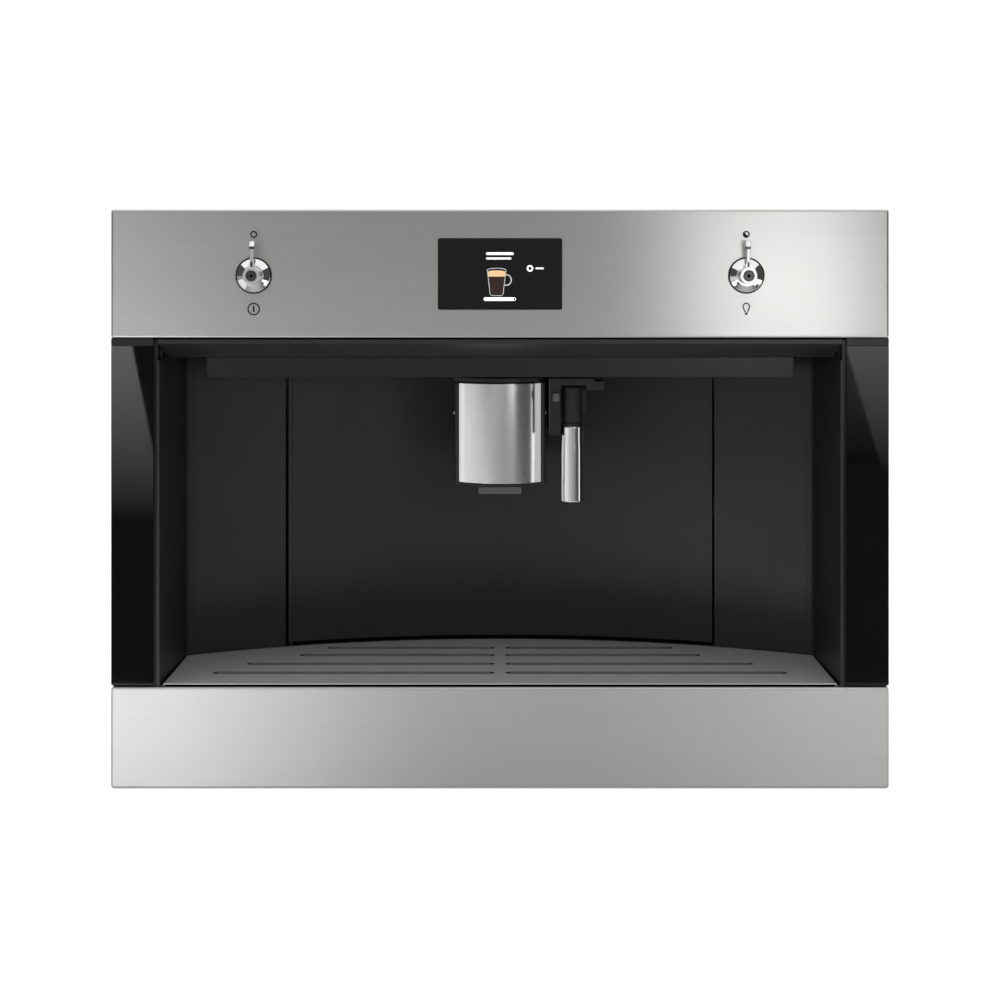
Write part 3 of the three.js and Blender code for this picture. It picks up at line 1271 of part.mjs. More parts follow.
// Floor of the cavity behind the door, with the lower hinge socket on its front edge.
const DECK_HALF = BULKHEAD_X - SEAT;
const DECK_TOP = CUP_PLATE_TOP - 0.2;
const DECK_BACK = 345;
function cavityFloor() {
  const front = NICHE_WALL + 1;
  const plate = raised(
    outline([
      ...arcPoints(front, -DECK_HALF, DECK_HALF, 16), [DECK_HALF, DECK_BACK], [-DECK_HALF, DECK_BACK],
    ]),
    DECK_TOP - MOULDING,
    DECK_TOP,
  );
  const skirts = SIDES.map(([, side]) =>
    across(side, DECK_HALF - MOULDING, DECK_HALF, BULKHEAD_FRONT + 3, DECK_BACK, DECK_TOP - 18, DECK_TOP - 1),
  );
  const tabLeft = HINGE_X - BARREL_RADIUS + 0.4;
  const tabRight = HINGE_X + 7;
  const tab = raised(
    outline([
      ...arcPoints(2 * SEAT - TRAY_GAP, tabLeft, tabRight, 3), [tabRight, HINGE_Y + 6],
      [tabLeft, HINGE_Y + 6],
    ]),
    DECK_TOP - MOULDING,
    DECK_TOP,
  );
  const socket = rod(HINGE_SOCKET, DECK_TOP - 5, DECK_TOP + 5).translate(HINGE_X, HINGE_Y, 0);
  return cut(joined(plate, ...skirts, tab), socket);
}
part("cavity_floor", cavityFloor(), BLACK_MOULDED);

// ---- Beans: hopper, lid and grinder ---------------------------------------------------------

// A block whose top and bottom are different rectangles [x0, x1, y0, y1].
function tapered([a0, a1, b0, b1], low, [c0, c1, d0, d1], high) {
  const geometry = new THREE.BoxGeometry(2, 2, 2);
  const position = geometry.attributes.position;
  for (let i = 0; i < position.count; i++) {
    const up = position.getZ(i) > 0;
    const [x0, x1, y0, y1] = up ? [c0, c1, d0, d1] : [a0, a1, b0, b1];
    position.setXYZ(i, position.getX(i) < 0 ? x0 : x1, position.getY(i) < 0 ? y0 : y1, up ? high : low);
  }
  return geometry;
}

const HOPPER_WALL = 2;
const HOPPER_STRAIGHT = 30; // height of the upright part under the rim
function beanHopper() {
  const base = UPPER_DECK + UPPER_DECK_SHEET + SEAT;
  const rimTop = CASE_TOP - CASE_SHEET - SEAT;
  const shoulder = rimTop - HOPPER_STRAIGHT;
  const top = (inset) => [
    -HOPPER_HALF_WIDTH + inset, HOPPER_HALF_WIDTH - inset, HOPPER_FRONT + inset, HOPPER_BACK - inset,
  ];
  const throat = (radius) => [
    GRINDER_X - radius, GRINDER_X + radius, GRINDER_Y - radius, GRINDER_Y + radius,
  ];
  const body = joined(
    tapered(throat(THROAT_RADIUS), base, top(0), shoulder + 0.01),
    tapered(top(0), shoulder, top(0), rimTop - 1),
    tapered(top(-HOPPER_RIM), rimTop - 2, top(-HOPPER_RIM), rimTop),
  );
  const hollow = joined(
    tapered(throat(THROAT_RADIUS - HOPPER_WALL), base - 1, top(HOPPER_WALL), shoulder + 0.01),
    tapered(top(HOPPER_WALL), shoulder, top(HOPPER_WALL), rimTop + 1),
  );
  return cut(body, hollow);
}
part("bean_hopper", beanHopper(), SMOKED);

function hopperLid() {
  const low = CASE_TOP + LID_GAP;
  const half = HOPPER_HALF_WIDTH + LID_OVERLAP;
  const back = LID_PIN_Y - LID_BARREL_RADIUS - 1.2;
  const plate = raised(panel(-half, half, HOPPER_FRONT - LID_OVERLAP, back, 4), low, low + LID_SHEET);
  const arm = block(-LID_BARREL_HALF, LID_BARREL_HALF, back - 1, LID_PIN_Y - 0.5, low, low + 1.4);
  const grip = block(-20, 20, HOPPER_FRONT - LID_OVERLAP - 5, HOPPER_FRONT, low, low + LID_SHEET);
  const barrel = lyingAcross(rod(LID_BARREL_RADIUS, -LID_BARREL_HALF, LID_BARREL_HALF, 12))
    .translate(0, LID_PIN_Y, LID_PIN_Z);
  const pins = lyingAcross(rod(LID_PIN_RADIUS, -PIN_HALF, PIN_HALF, 12)).translate(0, LID_PIN_Y, LID_PIN_Z);
  return joined(plate, arm, grip, barrel, pins);
}
part("hopper_lid", hopperLid(), BLACK_SATIN);

// Burr grinder with its motor, hung from the upper deck.
const GRINDER_RADIUS = 40;
const GRINDER_FLANGE = 48;
const GRINDER_MOTOR_RADIUS = 26;
const GRINDER_MOTOR_HEIGHT = 34;
const GRINDER_MOUTH_DEPTH = 14;
const GRINDER_HEIGHT = 85;
const GRINDER_BOTTOM = UPPER_DECK - GRINDER_HEIGHT;
function grinder() {
  const top = UPPER_DECK - SEAT;
  const neck = GRINDER_BOTTOM + GRINDER_MOTOR_HEIGHT;
  const body = turned([
    [0, GRINDER_BOTTOM], [GRINDER_MOTOR_RADIUS - 2, GRINDER_BOTTOM],
    [GRINDER_MOTOR_RADIUS, GRINDER_BOTTOM + 2], [GRINDER_MOTOR_RADIUS, neck],
    [GRINDER_RADIUS - 2, neck + 4], [GRINDER_RADIUS, neck + 7], [GRINDER_RADIUS, top - 14],
    [GRINDER_RADIUS - 6, top - 10], [GRINDER_RADIUS - 6, top - 2], [GRINDER_FLANGE, top - 2],
    [GRINDER_FLANGE, top], [THROAT_RADIUS - 2, top],
    [THROAT_RADIUS - 6, top - GRINDER_MOUTH_DEPTH], [0, top - GRINDER_MOUTH_DEPTH],
  ], 18);
  return body.translate(GRINDER_X, GRINDER_Y, 0);
}
part("grinder", grinder(), CAST_ALUMINIUM);

// ---- Water tank, drawn out sideways ---------------------------------------------------------

const TANK_CORNER = 5;
const GRIP_FRONT = 235;
const GRIP_BACK = 295;
const GRIP_BOTTOM = 215;
const GRIP_TOP = 247;
const GRIP_DEPTH = 14;
const TANK_STUB_RADIUS = 6;
const TANK_STUB_LENGTH = 9;
const TANK_STUB_Y = 190;
const TANK_STUB_Z = 84;
const STUB_FIT = 0.2;

function waterTank() {
  const wall = TANK_WALL;
  const shell = raised(
    panel(TANK_IN, TANK_OUT, TANK_FRONT, TANK_BACK, TANK_CORNER), TANK_BOTTOM, TANK_TOP,
  );
  const inside = raised(
    panel(TANK_IN + wall, TANK_OUT - wall, TANK_FRONT + wall, TANK_BACK - wall, TANK_CORNER - wall),
    TANK_BOTTOM + wall,
    TANK_TOP + 1,
  );
  const grip = (skin) =>
    block(
      TANK_OUT - GRIP_DEPTH - skin, TANK_OUT + 1, GRIP_FRONT - skin, GRIP_BACK + skin,
      GRIP_BOTTOM - skin, GRIP_TOP + skin,
    );
  const stub = lyingAcross(rod(TANK_STUB_RADIUS, TANK_IN - TANK_STUB_LENGTH, TANK_IN + 1, 12))
    .translate(0, TANK_STUB_Y, TANK_STUB_Z);
  return cut(joined(cut(shell, cut(inside, grip(wall))), stub), grip(0));
}
part("water_tank", waterTank(), CLEAR_TANK);

function tankLid() {
  const wall = TANK_WALL;
  const seat = TANK_TOP + SEAT;
  const plate = raised(
    panel(TANK_IN, TANK_OUT, TANK_FRONT, TANK_BACK, TANK_CORNER), seat, seat + wall,
  );
  const inset = wall + SEAT;
  const plug = raised(
    panel(TANK_IN + inset, TANK_OUT - inset, TANK_FRONT + inset, TANK_BACK - inset, 2),
    TANK_TOP - 5, seat + wall / 2,
  );
  const relief = raised(
    panel(TANK_IN + 2 * inset, TANK_OUT - 2 * inset, TANK_FRONT + 2 * inset, TANK_BACK - 2 * inset),
    TANK_TOP - 6, seat,
  );
  return cut(joined(plate, plug), relief);
}
part("tank_lid", tankLid(), BLACK_MOULDED);

// The valve block that the tank's stub plugs into, on the inner frame.
function tankValve() {
  const inner = BULKHEAD_X + CASE_SHEET + SEAT;
  const body = block(
    inner, TANK_IN - 1, TANK_STUB_Y - 14, TANK_STUB_Y + 14, TANK_SHELF_TOP + SEAT, TANK_STUB_Z + 13,
  );
  const socket = lyingAcross(rod(TANK_STUB_RADIUS + STUB_FIT, TANK_IN - TANK_STUB_LENGTH - 1, TANK_IN, 12))
    .translate(0, TANK_STUB_Y, TANK_STUB_Z);
  return cut(body, socket);
}
part("tank_valve", tankValve(), WHITE_PLASTIC);

// ---- Grounds container ----------------------------------------------------------------------

const GROUNDS_LEFT = 14 - BULKHEAD_X;
const GROUNDS_RIGHT = -42;
const GROUNDS_FRONT = 197;
const GROUNDS_BACK = 325;
const GROUNDS_HEIGHT = 105;
function groundsContainer() {
  const base = DECK_TOP + SEAT;
  const wall = MOULDING;
  const rimTop = base + GROUNDS_HEIGHT;
  const rect = (inset) => [
    GROUNDS_LEFT + inset, GROUNDS_RIGHT - inset, GROUNDS_FRONT + inset, GROUNDS_BACK - inset,
  ];
  const tray = cut(
    tapered(rect(4), base, rect(0), rimTop),
    tapered(rect(4 + wall), base + wall, rect(wall), rimTop + 1),
  );
  const middle = (GROUNDS_LEFT + GROUNDS_RIGHT) / 2;
  const handle = block(middle - 25, middle + 25, GROUNDS_FRONT - 7, GROUNDS_FRONT + 1, rimTop - 3, rimTop);
  return joined(tray, handle);
}
part("grounds_container", groundsContainer(), BLACK_MOULDED);

// ---- Brew unit: a motor turns a spindle that lifts the chamber onto the fixed piston --------

const BREW_X = 10;
const BREW_Y = 262;
const BREW_BASE = DECK_TOP + SEAT;
const BREW_SHEET = 4;
const GEAR_ROOM = 26; // bridge to grinder
const BRIDGE_BOTTOM = GRINDER_BOTTOM - GEAR_ROOM;
const BRIDGE_SHEET = 6;
const CHEEK_IN = 36; // from the chamber's axis
const CHEEK_SHEET = 3;
const CHAMBER_RADIUS = 24;
const CHAMBER_BORE = 20;
const CHAMBER_BOTTOM = 98;
const CHAMBER_HEIGHT = 62;
const CHAMBER_FLOOR = 8;
const CHAMBER_TRAVEL = 48;
const PISTON_FIT = 1.2; // filled by its seal, which is left out
const PISTON_LENGTH = 46;
const PISTON_BOTTOM = BRIDGE_BOTTOM - PISTON_LENGTH;
const EAR = 8; // guide ears of the chamber, in the slots of the cheeks
const SLOT_END = 4; // past the ears at both ends of their way
const SPINDLE_RADIUS = 4;
const SPINDLE_FIT = 0.1;
const SPINDLE_Y = BREW_Y + 38;
const GEAR_MODULE = 1;
const GEAR_TEETH = 40;
const PINION_TEETH = 14;
const GEAR_WIDTH = 6;
const GEAR_BOTTOM = BRIDGE_BOTTOM + BRIDGE_SHEET + RUN;
const MOTOR_Y = SPINDLE_Y + (GEAR_MODULE * (GEAR_TEETH + PINION_TEETH)) / 2;
const MOTOR_RADIUS = 14;
const MOTOR_LENGTH = 46;
const MOTOR_BOTTOM = BRIDGE_BOTTOM - MOTOR_LENGTH;
const MOTOR_SHAFT_RADIUS = 2;
const OUTLET_RADIUS = 5; // coffee leaves forwards through the piston
const OUTLET_Z = BRIDGE_BOTTOM - 14;

function brewFrame() {
  const out = CHEEK_IN + CHEEK_SHEET;
  const front = BREW_Y - 30;
  const base = raised(
    panel(BREW_X - out, BREW_X + out, front, SPINDLE_Y + 12, 4), BREW_BASE, BREW_BASE + BREW_SHEET,
  );
  const bridge = raised(
    panel(BREW_X - out, BREW_X + out, front, MOTOR_Y + MOTOR_RADIUS + 2, 4),
    BRIDGE_BOTTOM, BRIDGE_BOTTOM + BRIDGE_SHEET,
  );
  const slotHalf = EAR / 2 + RUN;
  const earCentre = CHAMBER_BOTTOM + CHAMBER_HEIGHT / 2;
  const slotTop = earCentre + CHAMBER_TRAVEL + EAR + slotHalf + SLOT_END;
  const slotBottom = earCentre - EAR - slotHalf - SLOT_END;
  const cheeks = SIDES.map(([, side]) => {
    const plate = pierced(
      panel(front, SPINDLE_Y + 12, BREW_BASE + 1, BRIDGE_BOTTOM + 1),
      panel(BREW_Y - slotHalf, BREW_Y + slotHalf, slotBottom, slotTop, slotHalf - 0.01),
    );
    const near = BREW_X + side * CHEEK_IN;
    const far = BREW_X + side * out;
    return sided(plate, Math.min(near, far), Math.max(near, far), 3);
  });
  const piston = rod(CHAMBER_BORE - PISTON_FIT, PISTON_BOTTOM, BRIDGE_BOTTOM + 1, 24)
    .translate(BREW_X, BREW_Y, 0);
  const outlet = facingFront(rod(OUTLET_RADIUS, -BREW_Y + 10, -front + 34, 12))
    .translate(BREW_X, 0, OUTLET_Z);
  const spindleHole = rod(SPINDLE_RADIUS + SPINDLE_FIT, BREW_BASE - 1, GEAR_BOTTOM)
    .translate(BREW_X, SPINDLE_Y, 0);
  const motorHole = rod(MOTOR_SHAFT_RADIUS + 1, BRIDGE_BOTTOM - 1, GEAR_BOTTOM, 12)
    .translate(BREW_X, MOTOR_Y, 0);
  return cut(joined(base, bridge, ...cheeks, piston, outlet), spindleHole, motorHole);
}
part("brew_frame", brewFrame(), WHITE_PLASTIC);

function brewChamber() {
  const top = CHAMBER_BOTTOM + CHAMBER_HEIGHT;
  const middle = (CHAMBER_BOTTOM + top) / 2;
  const cup = turned([
    [0, CHAMBER_BOTTOM], [CHAMBER_RADIUS - 2, CHAMBER_BOTTOM], [CHAMBER_RADIUS, CHAMBER_BOTTOM + 2],
    [CHAMBER_RADIUS, top], [CHAMBER_BORE + 1, top], [CHAMBER_BORE, top - 1],
    [CHAMBER_BORE, CHAMBER_BOTTOM + CHAMBER_FLOOR], [0, CHAMBER_BOTTOM + CHAMBER_FLOOR],
  ], 24).translate(BREW_X, BREW_Y, 0);
  const reach = CHEEK_IN + CHEEK_SHEET;
  const ears = SIDES.map(([, side]) => {
    const near = BREW_X + side * (CHAMBER_BORE + 2);
    const far = BREW_X + side * reach;
    return block(
      Math.min(near, far), Math.max(near, far), BREW_Y - EAR / 2, BREW_Y + EAR / 2,
      middle - EAR, middle + EAR,
    );
  });
  const nut = joined(
    block(BREW_X - 8, BREW_X + 8, BREW_Y + CHAMBER_BORE + 2, SPINDLE_Y, middle - 9, middle + 9),
    rod(8, middle - 12, middle + 12, 6).translate(BREW_X, SPINDLE_Y, 0),
  );
  const bore = rod(SPINDLE_RADIUS + SPINDLE_FIT, middle - 20, middle + 20).translate(BREW_X, SPINDLE_Y, 0);
  return cut(joined(cup, ...ears, nut), bore);
}
part("brew_chamber", brewChamber(), BLACK_MOULDED);

// A spur gear in plan: each tooth is narrower at its tip, with backlash on its flanks.
function spurGear(teeth, firstTooth) {
  const pitch = (GEAR_MODULE * teeth) / 2;
  const backlash = 0.16;
  const halfTooth = ((Math.PI / 2) * GEAR_MODULE - backlash) / 2;
  const flank = Math.tan((20 * Math.PI) / 180);
  const rings = [[pitch - 1.15 * GEAR_MODULE, 1.15], [pitch + 0.85 * GEAR_MODULE, -0.85]];
  const points = [];
  for (let tooth = 0; tooth < teeth; tooth++) {
    const centre = firstTooth + (2 * Math.PI * tooth) / teeth;
    const [root, tip] = rings.map(([radius, depth]) => [
      radius, (halfTooth + depth * GEAR_MODULE * flank) / pitch,
    ]);
    const corners = [[root[0], -root[1]], [tip[0], -tip[1]], tip, root];
    for (const [radius, angle] of corners)
      points.push([radius * Math.cos(centre + angle), radius * Math.sin(centre + angle)]);
  }
  return outline(points);
}

const spindle = new THREE.Group();
spindle.position.set(BREW_X, SPINDLE_Y, 0);
coffeeMachine.add(spindle);
part(
  "brew_spindle",
  joined(
    rod(SPINDLE_RADIUS, BREW_BASE + 1, GEAR_BOTTOM + 1),
    raised(spurGear(GEAR_TEETH, Math.PI / 2), GEAR_BOTTOM, GEAR_BOTTOM + GEAR_WIDTH),
  ),
  BRASS,
  spindle,
);

const motor = new THREE.Group();
motor.position.set(BREW_X, MOTOR_Y, 0);
coffeeMachine.add(motor);
const motorTop = BRIDGE_BOTTOM - SEAT;
part(
  "brew_motor",
  cut(
    turned([
      [0, MOTOR_BOTTOM], [MOTOR_RADIUS - 1, MOTOR_BOTTOM], [MOTOR_RADIUS, MOTOR_BOTTOM + 1],
      [MOTOR_RADIUS, motorTop - 1], [MOTOR_RADIUS - 1, motorTop], [0, motorTop],
    ], 20),
    rod(MOTOR_SHAFT_RADIUS + SPINDLE_FIT, motorTop - 12, motorTop + 1, 12),
  ),
  CAST_ALUMINIUM,
  motor,
);
part(
  "motor_pinion",
  joined(
    rod(MOTOR_SHAFT_RADIUS, motorTop - 11, GEAR_BOTTOM + 1, 12),
    raised(
      spurGear(PINION_TEETH, Math.PI / PINION_TEETH - Math.PI / 2), GEAR_BOTTOM, GEAR_BOTTOM + GEAR_WIDTH,
    ),
  ),
  BRASS,
  motor,
);

// ---- Left bay: pump, boiler, power board; mains inlet ---------------------------------------

const BAY_X = -(BULKHEAD_X + CASE_SHEET + CASE_HALF - CASE_SHEET) / 2;
const SHELF_SEAT = TANK_SHELF_TOP + SEAT;
const BOILER_RADIUS = 29;
const BOILER_Y = 320;
const BOILER_HEIGHT = 128;
const BOILER_BELT = 60; // height of the belt over its foot
const BOILER_BELT_WIDTH = 8;
const BOILER_STUB_RADIUS = 6;
const PUMP_RADIUS = 15;
const PUMP_FRONT = 165;
const PUMP_LENGTH = 95;
const PUMP_Z = SHELF_SEAT + 26;
const COIL_SETBACK = 30;
const COIL_FRONT = PUMP_FRONT + COIL_SETBACK;
const COIL_SIZE = 38;
const PUMP_FOOT_WIDTH = 28;

function boiler() {
  const top = SHELF_SEAT + BOILER_HEIGHT;
  const belt = SHELF_SEAT + BOILER_BELT;
  const vessel = turned([
    [0, SHELF_SEAT], [BOILER_RADIUS - 8, SHELF_SEAT], [BOILER_RADIUS - 8, SHELF_SEAT + 8],
    [BOILER_RADIUS - 3, SHELF_SEAT + 10], [BOILER_RADIUS, SHELF_SEAT + 15],
    [BOILER_RADIUS, belt], [BOILER_RADIUS + 4, belt], [BOILER_RADIUS + 4, belt + BOILER_BELT_WIDTH],
    [BOILER_RADIUS, belt + BOILER_BELT_WIDTH], [BOILER_RADIUS, top - 16],
    [BOILER_RADIUS - 4, top - 10], [BOILER_STUB_RADIUS, top - 8], [BOILER_STUB_RADIUS, top], [0, top],
  ], 20);
  return vessel.translate(BAY_X, BOILER_Y, 0);
}
part("boiler", boiler(), CAST_ALUMINIUM);

function pump() {
  const body = facingFront(
    turned([
      [0, 0], [5, 0], [5, 10], [PUMP_RADIUS - 3, 12], [PUMP_RADIUS, 15], [PUMP_RADIUS, PUMP_LENGTH - 20],
      [PUMP_RADIUS - 6, PUMP_LENGTH - 16], [4, PUMP_LENGTH - 12], [4, PUMP_LENGTH], [0, PUMP_LENGTH],
    ], 16),
  ).translate(BAY_X, PUMP_FRONT + PUMP_LENGTH, PUMP_Z);
  const half = COIL_SIZE / 2;
  const footHalf = PUMP_FOOT_WIDTH / 2;
  const coil = block(
    BAY_X - half, BAY_X + half, COIL_FRONT, COIL_FRONT + COIL_SIZE, PUMP_Z - half, PUMP_Z + half,
  );
  const foot = block(
    BAY_X - footHalf, BAY_X + footHalf, COIL_FRONT + half - footHalf, COIL_FRONT + half + footHalf,
    SHELF_SEAT, PUMP_Z - half + 1,
  );
  return joined(body, coil, foot);
}
part("pump", pump(), CAST_ALUMINIUM);

const POWER_FRONT = 170;
const POWER_DEPTH = 170;
const POWER_HEIGHT = 95;
const POWER_TOP = UPPER_DECK - 17;
const SPACER_LENGTH = 6;
const SPACER_RADIUS = 2.5;
const SPACER_INSET = 10;
const TRANSFORMER_SIZE = 40;
const TRANSFORMER_REACH = 34;
const CAPACITOR_RADIUS = 9;
const CAPACITOR_REACH = 28;
const HEAT_SINK_DEPTH = 30;
const HEAT_SINK_HEIGHT = 60;
const HEAT_SINK_REACH = 22;

function powerBoard() {
  const bottom = POWER_TOP - POWER_HEIGHT;
  const back = POWER_FRONT + POWER_DEPTH;
  const wall = -(BULKHEAD_X + CASE_SHEET + SEAT);
  const face = wall - SPACER_LENGTH - BOARD_SHEET; // the side that carries the parts
  const root = face + WELD;
  const board = block(face, face + BOARD_SHEET, POWER_FRONT, back, bottom, POWER_TOP);
  const spacers = [POWER_FRONT + SPACER_INSET, back - SPACER_INSET].flatMap((y) =>
    [bottom + SPACER_INSET, POWER_TOP - SPACER_INSET].map((z) =>
      lyingAcross(rod(SPACER_RADIUS, wall - SPACER_LENGTH - WELD, wall, 8)).translate(0, y, z),
    ),
  );
  const transformerFront = POWER_FRONT + 1.5 * SPACER_INSET;
  const transformer = block(
    face - TRANSFORMER_REACH, root, transformerFront, transformerFront + TRANSFORMER_SIZE,
    bottom + SPACER_INSET, bottom + SPACER_INSET + TRANSFORMER_SIZE,
  );
  const capacitorY = transformerFront + TRANSFORMER_SIZE + 2.5 * CAPACITOR_RADIUS;
  const capacitors = [capacitorY, capacitorY + 2.5 * CAPACITOR_RADIUS].map((y) =>
    lyingAcross(rod(CAPACITOR_RADIUS, face - CAPACITOR_REACH, root, 12))
      .translate(0, y, bottom + 3 * CAPACITOR_RADIUS),
  );
  const sinkBack = back - 1.5 * SPACER_INSET;
  const heatSink = block(
    face - HEAT_SINK_REACH, root, sinkBack - HEAT_SINK_DEPTH, sinkBack,
    bottom + 1.5 * SPACER_INSET, bottom + 1.5 * SPACER_INSET + HEAT_SINK_HEIGHT,
  );
  return joined(board, ...spacers, transformer, ...capacitors, heatSink);
}
part("power_board", powerBoard(), BOARD_GREEN);

const SOCKET_DEPTH = 18;
const SOCKET_WALL = 2;
const PIN_LENGTH = 11;
function mainsInlet() {
  const back = REAR - CASE_SHEET - SEAT;
  const box = (half, height, y0, y1) =>
    block(INLET_X - half, INLET_X + half, y0, y1, INLET_Z - height, INLET_Z + height);
  const nose = box(INLET_WIDTH / 2 - SEAT, INLET_HEIGHT / 2 - SEAT, back - 2, REAR);
  const flange = box(INLET_WIDTH / 2 + 8, INLET_HEIGHT / 2 + 2, back - 3, back);
  const body = box(INLET_WIDTH / 2, INLET_HEIGHT / 2, REAR - SOCKET_DEPTH - 5, back - 1);
  const socket = box(
    INLET_WIDTH / 2 - SOCKET_WALL, INLET_HEIGHT / 2 - SOCKET_WALL, REAR - SOCKET_DEPTH, REAR + 1,
  );
  const floor = REAR - SOCKET_DEPTH;
  const pins = [[-7, -2], [0, 2], [7, -2]].map(([x, z]) =>
    block(
      INLET_X + x - 1, INLET_X + x + 1, floor - 1, floor + PIN_LENGTH, INLET_Z + z - 2, INLET_Z + z + 2,
    ),
  );
  return joined(cut(joined(nose, flange, body), socket), ...pins);
}
part("mains_inlet", mainsInlet(), BLACK_MOULDED);

// ---- Origin: bottom centre of the whole -----------------------------------------------------

coffeeMachine.position.y = -(REAR - KNOB_REACH) / 2;

export default coffeeMachine;
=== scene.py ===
"""Looks of the built-in coffee machine: finishes, fine surfaces, printed signs, display, light and camera."""

import math

import bmesh
import bpy
import numpy as np
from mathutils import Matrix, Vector


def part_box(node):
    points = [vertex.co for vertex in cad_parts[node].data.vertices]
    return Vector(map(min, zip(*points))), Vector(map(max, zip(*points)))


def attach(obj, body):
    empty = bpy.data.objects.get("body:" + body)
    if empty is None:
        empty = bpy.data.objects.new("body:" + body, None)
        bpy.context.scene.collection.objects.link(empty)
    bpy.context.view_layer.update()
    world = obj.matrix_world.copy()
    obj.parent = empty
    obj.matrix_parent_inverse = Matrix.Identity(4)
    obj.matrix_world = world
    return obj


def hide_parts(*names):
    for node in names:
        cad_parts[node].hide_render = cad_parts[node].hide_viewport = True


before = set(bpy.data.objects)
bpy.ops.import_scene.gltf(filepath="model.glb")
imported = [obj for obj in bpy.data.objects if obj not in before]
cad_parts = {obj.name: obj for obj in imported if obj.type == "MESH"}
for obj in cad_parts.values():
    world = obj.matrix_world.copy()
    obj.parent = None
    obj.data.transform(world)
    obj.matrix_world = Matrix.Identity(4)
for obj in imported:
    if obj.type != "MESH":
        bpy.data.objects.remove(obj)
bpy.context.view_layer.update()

MM = 0.001
MERGE = 1e-7  # metres: points nearer than this are one
SHARP = 30.0  # degrees: edges that turn further than this show as edges

# ---- Places taken from the frame -----------------------------------------------------------------

fascia_low, fascia_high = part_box("upper_fascia")
FRONT = fascia_low[1] / MM  # front plane of the stainless fascias
TOP = fascia_high[2] / MM
HALF_WIDTH = fascia_high[0] / MM
UPPER_BOTTOM = fascia_low[2] / MM
disc_low, disc_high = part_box("knob_disc_left")
KNOB_X = -(disc_low[0] + disc_high[0]) / 2 / MM
KNOB_Z = (disc_low[2] + disc_high[2]) / 2 / MM
glass_low, glass_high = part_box("display_glass")
DISPLAY_FACE = glass_low[1] / MM
DISPLAY_Z = (glass_low[2] + glass_high[2]) / 2 / MM

# ---- Meshes from grids of points -----------------------------------------------------------------


def grid_faces(rows, columns, wrap_rows, wrap_columns, first):
    """Quads of a grid of points numbered row by row; a wrapped direction joins its end to its start."""
    i = np.arange(rows if wrap_rows else rows - 1)[:, None]
    j = np.arange(columns if wrap_columns else columns - 1)[None, :]
    here, up = i * columns, ((i + 1) % rows) * columns
    after = (j + 1) % columns
    quads = np.stack([here + j, here + after, up + after, up + j], axis=-1)
    return quads.reshape(-1, 4) + first


def surface(name, *grids):
    """One object from grids of points in mm, each (points, wrap_rows, wrap_columns).

    Points that meet are merged, so seams and poles close, and normals are turned outwards.
    Long faces keep their flat shading beside the narrow ones of a round edge.
    """
    points, faces, count = [], [], 0
    for grid, wrap_rows, wrap_columns in grids:
        rows, columns = grid.shape[:2]
        points.append(grid.reshape(-1, 3) * MM)
        faces.append(grid_faces(rows, columns, wrap_rows, wrap_columns, count))
        count += rows * columns
    mesh = bpy.data.meshes.new(name)
    mesh.from_pydata(np.concatenate(points), [], np.concatenate(faces).tolist())
    work = bmesh.new()
    work.from_mesh(mesh)
    bmesh.ops.remove_doubles(work, verts=work.verts, dist=MERGE)
    bmesh.ops.recalc_face_normals(work, faces=work.faces)
    work.to_mesh(mesh)
    work.free()
    mesh.polygons.foreach_set("use_smooth", np.ones(len(mesh.polygons), dtype=bool))
    mesh.set_sharp_from_angle(angle=math.radians(SHARP))
    piece = bpy.data.objects.new(name, mesh)
    bpy.context.collection.objects.link(piece)
    flat = piece.modifiers.new("large_faces_flat", "WEIGHTED_NORMAL")
    flat.keep_sharp = True
    return piece


def turned(profile, centre, facing="up", steps=96):
    """A turned form: each [radius, height] of the profile swept round the axis through the centre.

    A point lies at the radius times the cosine and the sine of its angle, and at its height along the axis.
    Facing up the axis is +Z; facing front it is -Y, so heights count forwards.
    """
    radius, height = np.array(profile, dtype=float).T
    angle = np.linspace(0, 2 * np.pi, steps, endpoint=False)
    side_a = radius[:, None] * np.cos(angle)
    side_b = radius[:, None] * np.sin(angle)
    along = np.repeat(height[:, None], steps, axis=1)
    axes = {"up": (side_a, side_b, along), "front": (side_a, -along, side_b)}[facing]
    return np.stack(axes, axis=-1) + np.array(centre, dtype=float), False, True


def rounded(points, radius, steps=5):
    """A profile with its inner corners rounded, each cut back by the radius or by less than half of a side.

    The curve is the first cut point times the square of 1 - t, the corner times 2 t (1 - t) and the
    second cut point times the square of t, added up.
    """
    points = np.array(points, dtype=float)
    out = [points[0]]
    for before, corner, after in zip(points[:-2], points[1:-1], points[2:]):
        reach = min(radius, np.linalg.norm(corner - before) / 2.2, np.linalg.norm(after - corner) / 2.2)
        a = corner + (before - corner) / max(np.linalg.norm(before - corner), 1e-9) * reach
        b = corner + (after - corner) / max(np.linalg.norm(after - corner), 1e-9) * reach
        t = np.linspace(0, 1, steps)[:, None]
        out.extend((1 - t) ** 2 * a + 2 * t * (1 - t) * corner + t**2 * b)
    out.append(points[-1])
    return np.array(out)


